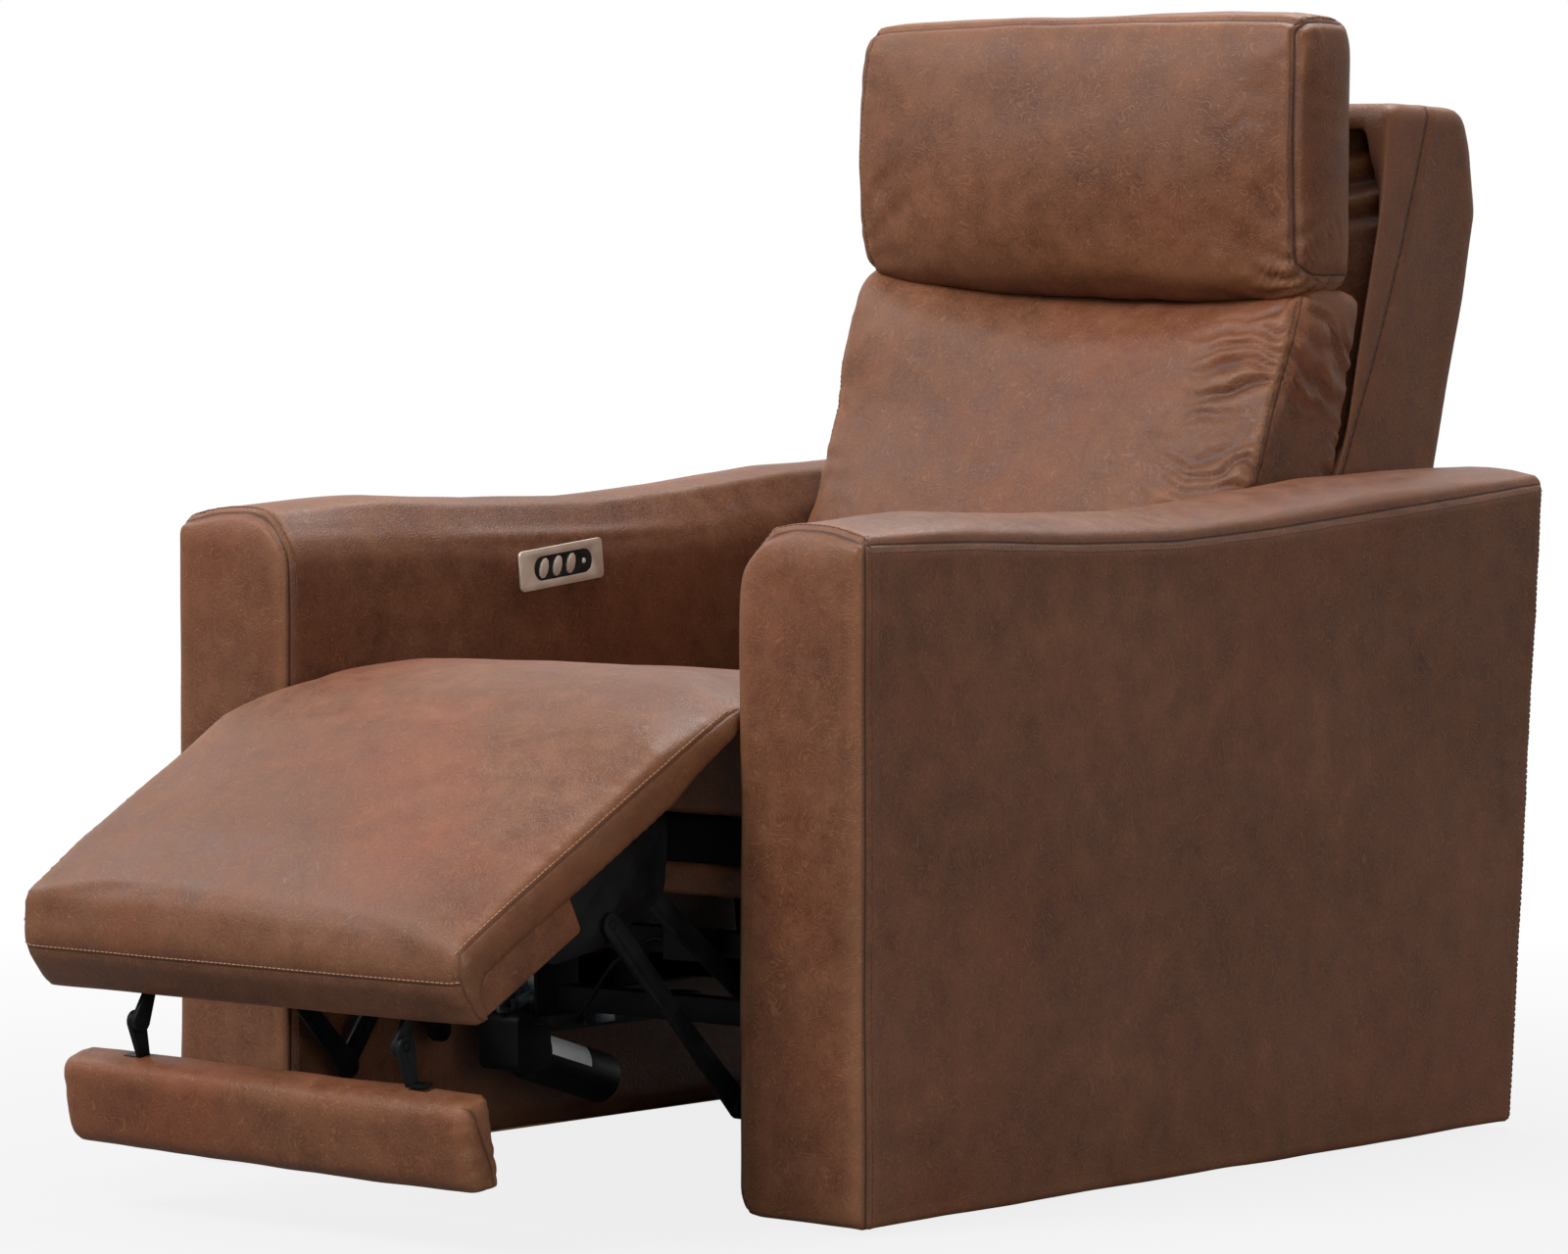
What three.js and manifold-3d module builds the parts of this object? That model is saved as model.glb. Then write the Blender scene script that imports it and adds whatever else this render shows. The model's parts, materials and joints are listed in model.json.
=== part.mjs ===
// Cinema recliner seat: two upholstered arms, with the seat, leg rest, back and head cushion that move
// between them. Millimetres, +Z up, the sitter faces -Y and the near arm is on +X. Pieces are drawn with
// y = 0 at the front face of the arms, and the whole group is then moved so that its footprint is
// centred on the origin.
import * as THREE from "three";
import { mergeVertices } from "three/addons/utils/BufferGeometryUtils.js";
import Module from "manifold-3d";

const wasm = await Module();
wasm.setup();

const { degToRad, lerp } = THREE.MathUtils;

// Driving dimensions
const touchGap = 0.3; // between pieces that touch
const runGap = 0.5; // between a pin and its hole, and between sliding faces
const overrun = 2; // a cutting tool passes this far beyond the face that it opens
const weldDepth = 1; // how far a pin or tube sinks into the bar that it is welded to
const pinSides = 12;
const footprintCentre = 404; // from the arm fronts back to the middle of the footprint

const arm = {
  gap: 558,
  width: 147,
  depth: 1026,
  backLean: 52,
  aboveSeat: 130, // from the front of the seat up to the arm's seam
  rise: 29,
  crown: 26,
  innerRound: 43,
  footRound: 20,
  cornerRound: 10,
  frontBulge: 6,
  wall: 16,
  topPad: 34,
};
// The top seam of the arm, from front to back: how far along, and its height as a share of the rise
const armAlongShares = [0, 0.15, 0.29, 0.43, 0.57, 0.72, 0.87, 1];
const armSeamShares = [0, -0.09, -0.31, -0.38, -0.14, 0.24, 0.62, 1];
// The height of the crown along the arm, as a share of its full height
const armCrownShares = [0, 1, 1, 1, 1.1, 1.25, 1, 0.6];

const halfGap = arm.gap / 2;

const armFrame = { board: 18, post: 90, rail: 70 };
const glide = { height: 6, radius: 14, inset: 42 };

const seat = {
  front: 112,
  rear: 660,
  base: 350.4,
  topFront: 484,
  topHigh: 488,
  topRear: 446,
  camber: 1,
  rearTopRound: 30,
  rearLowRound: 20,
  beside: 4,
  edgeRound: 12,
  crown: 6,
  toeCut: 28,
};
seat.halfWidth = halfGap - seat.beside;
arm.frontHeight = seat.topFront + arm.aboveSeat;
const seatHighShare = 0.28; // where along the seat its top is highest
const knee = { y: 17, z: 468, noseRadius: 17, lipBottom: 451 };

const frameBox = { front: 150, rear: 640, bottom: 305, top: 346, rail: 24 };
const spring = { wire: 3.8, waves: 7, reach: 24, count: 3, spacing: 130, sides: 5 };
const frontRail = { front: 150, depth: 22, bottom: 274, beside: 57, round: 7 };
frontRail.halfWidth = halfGap - frontRail.beside;

// The lanes that the mechanism's flat bars run in, counted inwards from the arm
const laneInset = { sidePlate: 25, frontLink: 32, frontStrut: 38, bracket: 44, rearStrut: 50 };
const lane = { bar: 4 };
for (const [bar, inset] of Object.entries(laneInset)) {
  lane[bar] = halfGap - inset;
}
const track = { front: 400, rear: 800, bottom: 140, height: 35, web: 3, depth: 16.7 };
const baseTube = { size: 25, bottom: 145, frontY: 560, rearY: 760, wall: 3 };
const sidePlate = {
  front: 168,
  rear: 772,
  bottom: 268,
  top: 345,
  noseCut: 24,
  noseRound: 14,
  heelRise: 30,
  heelRound: 20,
  earRound: 22,
  neckRound: 16,
  shoeInset: 26,
  shoeLength: 46,
  legRise: 2,
  legTopRound: 12,
  legFootRound: 8,
};
const sidePlateHole = { radius: 13, behindFront: [132, 212, 377, 432] };
const shoeYs = [460, 660];
const seatTube = { size: 24, wall: 2.5, y: 650, z: 200 };
const hanger = {
  x: 150,
  thickness: 4,
  front: 206,
  rear: 266,
  bottom: 138,
  neckRear: 226,
  neckBottom: 256,
  neckDrop: 20,
  neckRound: 16,
  round: 10,
};
const crossTube = { size: 24, upperY: 231, upperZ: 221, lowerY: 250, lowerZ: 155 };

// The leg rest in the photographed pose: it turns about the knee. Its own outline is given along it (s, from
// the root towards the feet) and square to it (n, up through the leather).
const legrest = { slope: 28, rootY: 30, rootZ: 432, halfWidth: seat.halfWidth, edgeRound: 8, crown: 6 };
const pad = {
  root: 14,
  tip: 435,
  top: 47,
  camber: 3,
  under: 2,
  browBack: 16,
  browDrop: 1,
  browRound: 24,
  noseShare: 0.35,
  noseRound: 20,
  chinBack: 10,
  chinRise: 2,
  chinRound: 14,
  noseUnder: -37,
  noseStart: 408,
};
const legBox = { start: 262, end: 404, bottom: -38, beside: 19, round: 6, topRound: 3 };
legBox.halfWidth = legrest.halfWidth - legBox.beside;
const legBracket = {
  start: 104,
  end: 296,
  border: 2,
  heel: 16,
  heelRound: 8,
  lugRound: 12,
  tailRound: 14,
  flange: 24,
  flangeBack: 6,
  flangeThickness: 3,
};
const footLug = { x: 158, thickness: 5, start: 388, flange: 14 };

const footRest = {
  y: -308,
  z: 100,
  tilt: -10.5,
  height: 84,
  thickness: 40,
  lowRound: 20,
  highRound: 22,
  edgeRound: 12,
  crown: 3,
};
footRest.beside = 24;
footRest.halfWidth = legrest.halfWidth - footRest.beside;
const footHinge = { s: 424.7, n: -62, radius: 10 };
const footArm = { thickness: 5, flange: 22, flangeThickness: 3, back: -15, front: -3 };

// Both pairs of links are parallelograms with the knee as their fourth corner, so a strut keeps its slope
const frontPivot = { y: 190, z: 291.6 };
const rearPivot = { y: 250, z: 289.6 };
const frontLug = { s: 215, n: -63 };
const rearLug = { s: 152, n: -65 };
const linkBar = { radius: 12, waist: 9, pin: 4 };
const torqueTube = { radius: 11, wall: 2.5 };

const drive = {
  x: -191,
  railStart: 236,
  railEnd: 478,
  railBottom: 118,
  railHeight: 22,
  railWidth: 30,
  crank: 130,
  crankLead: 21,
  swing: 41,
  crankThickness: 6,
  pin: 5,
  slotHalf: 8.6,
  slotShift: 2.9,
  saddleBehind: 118,
  trayWall: 4,
  trayFloor: 5,
  trayNose: 12,
  trayTail: 8,
};
const driveHead = { length: 48, height: 56, width: 50, back: 244, round: 9 };
const motor = { radius: 25, length: 112, tilt: 17, sunk: 6, raised: 4 };
const strap = { width: 8, front: 40, rear: 16, depth: 10, rearFront: 24, rearInset: 2, rearDepth: 6 };
const yoke = {
  thickness: 6,
  length: 44,
  border: 8,
  cheek: 4,
  top: 6,
  toeRound: 5,
  heelRound: 2,
  heelHeight: 16,
  shoulderBack: 20,
  shoulderHeight: 22,
  shoulderRound: 20,
  topRound: 10,
};

const recline = { y: 745, z: 345, hub: 26, arm: 90, armPin: 6, pinRise: 14 };
const reclineDrive = {
  x: 118,
  railStart: 496,
  railEnd: 738,
  railBottom: 216,
  railHeight: 20,
  railWidth: 28,
  motorShare: 0.9,
};
const reclineHead = { length: 52, height: 54, width: 46, lap: 6, round: 9 };
const reclineYoke = { heelHeight: 12, round: 8 };
const backCross = { radius: 10, behind: 46, dropThickness: 7 };

const shell = {
  lean: 14.4,
  frontAt: 849, // where the front plane of the shell crosses the height of the recline pivot
  bottom: 300,
  aboveBack: 176, // over the top of the back cushion
  edgeRound: 14,
  thickBottom: 166,
  thickHigh: 186,
  thickTop: 134,
  highShare: 0.82,
  rearDrop: 4,
  footRound: 20,
  rearRound: 24,
  frontRound: 20,
  recessDepth: 52,
  wing: 36,
  recessBelow: 246, // from the head hinge down to the foot of the recess
  topRail: 26,
  wall: 14,
};
shell.beside = 5;
shell.halfWidth = halfGap - shell.beside;
const shellLean = degToRad(shell.lean);
const pleats = { count: 9, width: 5, depth: 4 };
const backFrame = { depth: 40, post: 30, inset: 42, bottom: 306, below: 52 };
backFrame.halfWidth = shell.halfWidth - backFrame.inset;
const backBracket = { radius: 24, neck: 20, round: 10, noseRound: 12, height: 90 };
const backCushion = {
  frontLowY: 690,
  frontLowZ: 452,
  lowRound: 20,
  frontTopY: 876,
  browRound: 30,
  bottom: 402,
  toeBack: 14,
  toeRise: 14,
  toeRound: 24,
  heelBack: 40,
  heelDrop: 4,
  heelRound: 18,
  top: 836,
  topDrop: 8,
  topFlat: 30,
  topRound: 18,
  bulgeRound: 90,
  beside: 7,
  edgeRound: 12,
  bulge: 16,
  crown: 6,
};
backCushion.frontTopZ = backCushion.top - backCushion.topDrop;
backCushion.halfWidth = halfGap - backCushion.beside;
shell.top = backCushion.top + shell.aboveBack;
backFrame.top = shell.top - backFrame.below;
const head = {
  ahead: 130.14845, // of the shell's front plane, at the foot of the cushion
  depth: 104,
  toeBack: 8,
  browBack: 2,
  rearDrop: 6,
  aboveBack: 12,
  height: 258,
  beside: 3,
  edgeRound: 15,
  round: 36,
  crown: 7,
};
head.bottom = backCushion.top + head.aboveBack;
head.top = head.bottom + head.height;
head.front = shellFrontY(head.bottom) - head.ahead;
head.back = head.front + head.depth;
head.halfWidth = halfGap - head.beside;
const headPivot = { behind: 14, above: 18, lug: 12.5, bar: 7, barReach: 158 };
headPivot.y = head.back + headPivot.behind;
headPivot.z = head.bottom + headPivot.above;
shell.recessBottom = headPivot.z - shell.recessBelow;
const headPlate = {
  thickness: 4,
  halfWidth: 190,
  above: 38,
  height: 136,
  armX: 150,
  armThickness: 6,
  armTop: 40,
  armDepth: 6,
};
headPlate.bottom = head.bottom + headPlate.above;
headPlate.top = headPlate.bottom + headPlate.height;
const headHinge = { x: 124, lugThickness: 10, railHalf: 140, railThickness: 4, height: 40, bridge: 12 };
headHinge.bottom = head.bottom;
headHinge.top = headHinge.bottom + headHinge.height;
const headDrive = {
  crank: 44,
  crankThickness: 8,
  pin: 4,
  width: 34,
  depth: 30,
  height: 84,
  round: 5,
  rod: 5,
  rodLap: 2,
  rodClear: 14,
  boreTop: 8,
  drop: 62,
};
const headYoke = { thickness: 5, height: 26, length: 26, round: 6, slotLength: 13, slotHeight: 9.4 };

const panel = {
  y: 384,
  below: 50, // its middle, below the arm's seam at the front
  length: 122,
  height: 40,
  thickness: 3,
  cornerRound: 5,
  tilt: 5.5,
  slotLength: 86,
  slotHeight: 24,
  slotShift: 2,
};
panel.z = arm.frontHeight - panel.below;
const bezel = { thickness: 2.4 };
const button = { length: 21, width: 11.5, lean: 22, pitch: 20, first: -27, proud: 1.6, stem: 5 };
const lamp = { radius: 2.8, offset: 33 };
const panelBox = { length: 96, height: 32, depth: 22, trayDepth: 8, trayLength: 83, trayHeight: 21 };

const controlBox = {
  x: 40,
  width: 46,
  depth: 22,
  height: 30,
  inletDepth: 6,
  inletFront: 7,
  inletWidth: 8,
  inletBelow: 9,
  inletHeight: 12,
};
const harness = { radius: 2.5, sides: 8, steps: 34 };
const harnessPath = {
  inlet: 12,
  out: 22,
  rise: 2,
  topX: -48,
  topZ: 196,
  lowX: -86,
  lowZ: 152,
  sagX: -128,
  sagZ: 130,
  headLead: 18,
  headFront: 28,
};

// Solids

function toSolid(geometry) {
  const bare = geometry.clone();
  bare.deleteAttribute("normal");
  bare.deleteAttribute("uv");
  const merged = mergeVertices(bare, 1e-4);
  const vertProperties = merged.attributes.position.array;
  const triVerts = new Uint32Array(merged.index.array);
  return new wasm.Manifold(new wasm.Mesh({ numProp: 3, vertProperties, triVerts }));
}

function toGeometry(solid) {
  const mesh = solid.getMesh();
  const geometry = new THREE.BufferGeometry();
  geometry.setAttribute("position", new THREE.BufferAttribute(mesh.vertProperties, mesh.numProp));
  geometry.setIndex(new THREE.BufferAttribute(mesh.triVerts, 1));
  return geometry;
}

function join(first, ...others) {
  return toGeometry(others.reduce((solid, one) => solid.add(toSolid(one)), toSolid(first)));
}

function cut(first, ...tools) {
  return toGeometry(tools.reduce((solid, one) => solid.subtract(toSolid(one)), toSolid(first)));
}

function placed(geometry, x, y, z) {
  return geometry.translate(x, y, z);
}

function mirrored(geometry) {
  const copy = (geometry.index ? geometry.toNonIndexed() : geometry.clone()).scale(-1, 1, 1);
  copy.deleteAttribute("normal");
  copy.deleteAttribute("uv");
  const place = copy.attributes.position.array;
  for (let i = 0; i < place.length; i += 9) {
    for (let k = i + 3; k < i + 6; k++) {
      [place[k], place[k + 3]] = [place[k + 3], place[k]];
    }
  }
  return copy;
}

// The extrusion needs its outline and its holes to run opposite ways round, however they were drawn
function extruded(shape, depth, curveSegments) {
  const wound = (path, clockwise) => {
    const points = path.getPoints(curveSegments);
    return THREE.ShapeUtils.isClockWise(points) === clockwise ? points : points.reverse();
  };
  const outline = new THREE.Shape(wound(shape, false));
  outline.holes = shape.holes.map((hole) => new THREE.Path(wound(hole, true)));
  return new THREE.ExtrudeGeometry(outline, { depth, bevelEnabled: false });
}

// A shape drawn in (y, z), extruded from x = low to x = high
function sidewise(shape, low, high, curveSegments = 6) {
  const geometry = extruded(shape, high - low, curveSegments);
  const turn = new THREE.Matrix4().makeBasis(
    new THREE.Vector3(0, 1, 0),
    new THREE.Vector3(0, 0, 1),
    new THREE.Vector3(1, 0, 0),
  );
  return geometry.applyMatrix4(turn).translate(low, 0, 0);
}

// A shape drawn in (x, y), extruded from z = low to z = high
function upwards(shape, low, high, curveSegments = 6) {
  return extruded(shape, high - low, curveSegments).translate(0, 0, low);
}

function block(x0, x1, y0, y1, z0, z1) {
  const box = new THREE.BoxGeometry(x1 - x0, y1 - y0, z1 - z0);
  return placed(box, (x0 + x1) / 2, (y0 + y1) / 2, (z0 + z1) / 2);
}

// A round bar along X
function pinAlongX(radius, x0, x1, y, z, sides = pinSides) {
  const bar = new THREE.CylinderGeometry(radius, radius, x1 - x0, sides).rotateZ(Math.PI / 2);
  return placed(bar, (x0 + x1) / 2, y, z);
}

function polygon(points) {
  const shape = new THREE.Shape();
  points.forEach(([a, b], i) => (i ? shape.lineTo(a, b) : shape.moveTo(a, b)));
  return shape;
}

function roundedRectangle(a0, a1, b0, b1, radius) {
  const shape = new THREE.Shape();
  shape.moveTo(a0 + radius, b0);
  shape.lineTo(a1 - radius, b0);
  shape.absarc(a1 - radius, b0 + radius, radius, -Math.PI / 2, 0);
  shape.lineTo(a1, b1 - radius);
  shape.absarc(a1 - radius, b1 - radius, radius, 0, Math.PI / 2);
  shape.lineTo(a0 + radius, b1);
  shape.absarc(a0 + radius, b1 - radius, radius, Math.PI / 2, Math.PI);
  shape.lineTo(a0, b0 + radius);
  shape.absarc(a0 + radius, b0 + radius, radius, Math.PI, (3 * Math.PI) / 2);
  return shape;
}

// Points along an arc, from one angle to another
function arcPoints(centre, radius, start, end, steps = 8) {
  const turns = Array.from({ length: steps + 1 }, (_, i) => lerp(start, end, i / steps));
  return turns.map((turn) => [centre.y + radius * Math.cos(turn), centre.z + radius * Math.sin(turn)]);
}

// A flat bar with round ends between two pivots, slightly waisted, with a hole at each end
function linkShape(a, b, endRadius, waist, hole) {
  const along = Math.atan2(b.z - a.z, b.y - a.y);
  const middle = { y: (a.y + b.y) / 2, z: (a.z + b.z) / 2 };
  const side = { y: -Math.sin(along), z: Math.cos(along) };
  const shape = new THREE.Shape();
  shape.absarc(b.y, b.z, endRadius, along - Math.PI / 2, along + Math.PI / 2);
  shape.lineTo(middle.y + side.y * waist, middle.z + side.z * waist);
  shape.absarc(a.y, a.z, endRadius, along + Math.PI / 2, along + (3 * Math.PI) / 2);
  shape.lineTo(middle.y - side.y * waist, middle.z - side.z * waist);
  for (const end of [a, b]) {
    const ring = new THREE.Path();
    ring.absarc(end.y, end.z, hole, 0, 2 * Math.PI, true);
    if (hole) shape.holes.push(ring);
  }
  return shape;
}

// Rings of points joined in order into one closed skin, with a fan over each end
function loft(rings) {
  const count = rings[0].length;
  const points = rings.flat();
  const middleOf = (ring) => ring.reduce((sum, p) => sum.add(p), new THREE.Vector3()).divideScalar(count);
  const first = points.push(middleOf(rings[0])) - 1;
  const last = points.push(middleOf(rings.at(-1))) - 1;
  const index = [];
  for (let r = 0; r + 1 < rings.length; r++) {
    for (let i = 0; i < count; i++) {
      const a = r * count + i;
      const b = r * count + ((i + 1) % count);
      index.push(a, b, b + count, a, b + count, a + count);
    }
  }
  const top = (rings.length - 1) * count;
  for (let i = 0; i < count; i++) {
    const next = (i + 1) % count;
    index.push(first, next, i, last, top + i, top + next);
  }
  const geometry = new THREE.BufferGeometry().setFromPoints(points);
  geometry.setIndex(index);
  if (signedVolume(geometry) < 0) geometry.setIndex(index.reverse());
  return geometry;
}

function signedVolume(geometry) {
  const { index, attributes } = geometry;
  const corner = (i) => new THREE.Vector3().fromBufferAttribute(attributes.position, index.getX(i));
  let sum = 0;
  for (let i = 0; i < index.count; i += 3) sum += corner(i).dot(corner(i + 1).cross(corner(i + 2)));
  return sum;
}

// The outward normal of each corner of an outline in (y, z), whichever way round it runs
function outwardNormals(outline) {
  let area = 0;
  outline.forEach(([y, z], i) => {
    const [y2, z2] = outline[(i + 1) % outline.length];
    area += y * z2 - y2 * z;
  });
  const turn = Math.sign(area);
  return outline.map((_, i) => {
    const [y0, z0] = outline[(i + outline.length - 1) % outline.length];
    const [y2, z2] = outline[(i + 1) % outline.length];
    const length = Math.hypot(y2 - y0, z2 - z0);
    return [(turn * (z2 - z0)) / length, (-turn * (y2 - y0)) / length];
  });
}

// The direction in (y, z) that leans forward from upright by an angle
function facing(lean) {
  return [-Math.sin(lean), Math.cos(lean)];
}

// A cushion: its outline in (y, z) swept along X, drawn in at both ends and crowned towards the middle on
// the faces that look the way it faces. A fade keeps the crown off the part ahead of a given place.
const roundStationShares = [1, 0.97, 0.85, 0.6, 0.25, 0];
const crownStationShares = [0.85, 0.55, 0.2];
function cushion(outline, { halfWidth, edgeRound, crown = 0 }, faces = [0, 0], fade = () => 1) {
  const normals = outwardNormals(outline);
  const half = [
    ...roundStationShares.map((share) => halfWidth - edgeRound * (1 - share)),
    ...crownStationShares.map((share) => (halfWidth - edgeRound) * share),
  ];
  const stations = [...half, ...half.map((x) => -x).reverse()];
  return loft(
    stations.map((x) => {
      const past = Math.min(1, Math.max(0, (Math.abs(x) - (halfWidth - edgeRound)) / edgeRound));
      const drawnIn = edgeRound * (1 - Math.sqrt(1 - past * past));
      const swell = crown * Math.cos((Math.PI / 2) * Math.min(1, Math.abs(x) / halfWidth));
      return outline.map(([y, z], i) => {
        const [ny, nz] = normals[i];
        const out = swell * fade(y) * Math.max(0, ny * faces[0] + nz * faces[1]) ** 2 - drawnIn;
        return new THREE.Vector3(x, y + ny * out, z + nz * out);
      });
    }),
  );
}

// An outline through given points, with every corner rounded by its own radius
function roundedOutline(corners, steps = 4) {
  return corners.flatMap(([y, z, radius = 0], i) => {
    if (!radius) return [[y, z]];
    const here = new THREE.Vector2(y, z);
    const toward = (j) => {
      const [cornerY, cornerZ] = corners[(j + corners.length) % corners.length];
      return new THREE.Vector2(cornerY, cornerZ).sub(here);
    };
    const back = toward(i - 1);
    const ahead = toward(i + 1);
    const reach = Math.min(radius, back.length() / 2, ahead.length() / 2);
    const start = here.clone().add(back.setLength(reach));
    const end = here.clone().add(ahead.setLength(reach));
    const curve = new THREE.QuadraticBezierCurve(start, here, end);
    return curve.getPoints(steps).map((p) => [p.x, p.y]);
  });
}

function shapeOf(outline) {
  return polygon(outline);
}

// A point of the leg rest, from its place along it and square to it
const legSlope = degToRad(legrest.slope);
function onLegrest(s, n) {
  return [
    legrest.rootY - s * Math.cos(legSlope) - n * Math.sin(legSlope),
    legrest.rootZ - s * Math.sin(legSlope) + n * Math.cos(legSlope),
  ];
}

function asPoint([y, z]) {
  return { y, z };
}

// Nodes

const root = new THREE.Group();
root.position.y = -footprintCentre;

const leather = { color: 0x7a5240, roughness: 0.55, metalness: 0 };
const hiddenWood = { color: 0xb08a5c, roughness: 0.8, metalness: 0 };
const blackSteel = { color: 0x17181a, roughness: 0.45, metalness: 0.6 };
const zinc = { color: 0x9aa6b0, roughness: 0.3, metalness: 0.9 };
const blackPlastic = { color: 0x141516, roughness: 0.5, metalness: 0 };
const champagne = { color: 0xb5a596, roughness: 0.35, metalness: 0.7 };

function node(name, geometry, look) {
  const mesh = new THREE.Mesh(geometry, new THREE.MeshStandardMaterial(look));
  mesh.name = name;
  root.add(mesh);
}

function pair(name, geometry, look) {
  node("near_" + name, geometry, look);
  node("far_" + name, mirrored(geometry), look);
}

const armInner = halfGap;
const armOuter = armInner + arm.width;

// Height of the arm's top seam at a share of its depth
const armSeamCurve = new THREE.SplineCurve(
  armAlongShares.map((share, i) => {
    const seam = arm.frontHeight + arm.rise * armSeamShares[i];
    return new THREE.Vector2(share, seam);
  }),
);
function armStations() {
  return armAlongShares.map((share, i) => ({
    share,
    seam: armSeamCurve.points[i].y,
    crown: arm.crown * armCrownShares[i],
  }));
}

// One cross-section of the arm in (x, z), from the outer foot up, over the crown and down the inner side
function armSection(seam, crown, shrink) {
  const centre = new THREE.Vector2((armInner + armOuter) / 2, (glide.height + seam) / 2);
  const points = [
    [armOuter, glide.height],
    [armOuter, seam],
  ];
  const domeShares = [0.07, 0.2, 0.4, 0.6, 0.78];
  for (const share of domeShares) {
    const lift = crown * Math.sin(Math.PI * Math.min(1, share * 0.85 + 0.04)) ** 0.6;
    const intoCorner = Math.max(0, share * arm.width - (arm.width - arm.innerRound)) / arm.innerRound;
    const drop = arm.innerRound * (1 - Math.sqrt(1 - intoCorner ** 2));
    points.push([armOuter - share * arm.width, seam + lift - drop]);
  }
  const cornerShares = [0.5, 0.8, 0.96];
  for (const share of cornerShares) {
    const drop = arm.innerRound * (1 - Math.sqrt(1 - share ** 2));
    const lift = crown * (1 - share) * 0.9;
    points.push([armInner + arm.innerRound * (1 - share), seam + lift - drop]);
  }
  points.push([armInner, seam - arm.innerRound * 1.15]);
  points.push([armInner, glide.height + arm.footRound]);
  points.push([armInner + arm.footRound * 0.3, glide.height + arm.footRound * 0.3]);
  points.push([armInner + arm.footRound, glide.height]);
  const width = armOuter - armInner;
  const height = seam - glide.height;
  return points.map(([x, z]) => [
    centre.x + (x - centre.x) * (1 - (2 * shrink) / width),
    centre.y + (z - centre.y) * (1 - (2 * shrink) / height),
  ]);
}

function armSkin() {
  const stations = armStations();
  const front = stations[0];
  const back = stations.at(-1);
  const ring = (y, station, shrink, leans) =>
    armSection(station.seam, station.crown, shrink).map(([x, z]) => {
      const lean = leans * arm.backLean * (z / arm.frontHeight);
      return new THREE.Vector3(x, y + lean, z);
    });
  const rings = [
    ring(-arm.frontBulge, front, arm.cornerRound * 2, 0),
    ring(-arm.frontBulge / 2, front, arm.cornerRound / 2, 0),
    ring(0, front, 0, 0),
    ring(arm.cornerRound, { seam: front.seam, crown: arm.crown * 0.6 }, 0, 0),
  ];
  for (const station of stations.slice(1, -1)) {
    rings.push(ring(arm.depth * station.share, station, 0, station.share));
  }
  rings.push(ring(arm.depth - arm.cornerRound, back, 0, 1));
  rings.push(ring(arm.depth, back, arm.cornerRound, 1));
  return loft(rings);
}

// The side outline of what fills the arm, drawn in from the skin by an even margin
function armInside(margin, foot) {
  const low = foot;
  const top = (share) => armSeamCurve.getPoint(share).y - arm.topPad - margin;
  const back = (z) => arm.depth - arm.wall - margin + (arm.backLean * z) / arm.frontHeight;
  return polygon([
    [arm.wall + margin, low],
    [back(low), low],
    [back(top(1)), top(1)],
    [arm.depth * 0.72, top(0.72)],
    [arm.depth * 0.43, top(0.43)],
    [arm.depth * 0.15, top(0.15)],
    [arm.wall + margin, top(0)],
  ]);
}

function armCover(side) {
  const low = armInner + arm.wall;
  const high = armOuter - arm.wall;
  const hollow = sidewise(armInside(0, glide.height - overrun), low, high);
  const skin = cut(armSkin(), hollow);
  if (side > 0) return skin;
  return cut(mirrored(skin), panelPocket());
}

// The plywood box inside an arm, with an opening through it between the posts
function armFrameBody(side) {
  const low = armInner + arm.wall + touchGap;
  const high = armOuter - arm.wall - touchGap;
  const foot = glide.height + touchGap;
  const body = sidewise(armInside(touchGap, foot), low, high);
  const inner = sidewise(
    armInside(touchGap + armFrame.board, foot + armFrame.board),
    low + armFrame.board,
    high - armFrame.board,
  );
  const front = arm.wall + armFrame.post;
  const rear = arm.depth - armFrame.post;
  const middle = (front + rear) / 2;
  const windowTop = arm.frontHeight - arm.topPad - armFrame.rail - armFrame.rail / 2;
  const window = (y0, y1) => {
    const opening = roundedRectangle(y0, y1, foot + armFrame.rail, windowTop, armFrame.board);
    return sidewise(opening, low - overrun, high + overrun, 3);
  };
  const windows = [
    window(front, middle - armFrame.post / 2),
    window(middle + armFrame.post / 2, rear),
  ];
  const frame = cut(body, inner, ...windows);
  return side > 0 ? frame : cut(mirrored(frame), panelPocket());
}

function glides() {
  const x = (armInner + armOuter) / 2;
  const frontY = arm.wall + glide.inset;
  const rearY = arm.depth - arm.wall - glide.inset;
  for (const [end, y] of [["front", frontY], ["rear", rearY]]) {
    const foot = new THREE.CylinderGeometry(glide.radius, glide.radius * 0.8, glide.height, 20);
    foot.rotateX(Math.PI / 2);
    pair(end + "_glide", placed(foot, x, y, glide.height / 2), blackPlastic);
  }
}

// The control panel lies in the inner face of the far arm, tilted along the arm. Its pieces are drawn in
// (along, up) with x as depth, and are then turned and moved into place.
function onPanel(shape, depth0, depth1, curveSegments = 6) {
  const face = -armInner + touchGap;
  return sidewise(shape, depth0, depth1, curveSegments)
    .rotateX(degToRad(panel.tilt))
    .translate(face, panel.y, panel.z);
}

function stadium(a0, a1, height) {
  return roundedRectangle(a0, a1, -height / 2, height / 2, height / 2);
}

function panelPocket() {
  const shape = roundedRectangle(
    -panelBox.length / 2 - touchGap,
    panelBox.length / 2 + touchGap,
    -panelBox.height / 2 - touchGap,
    panelBox.height / 2 + touchGap,
    touchGap * 2,
  );
  return onPanel(shape, -panelBox.depth - 2 * touchGap, overrun, 1);
}

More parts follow.
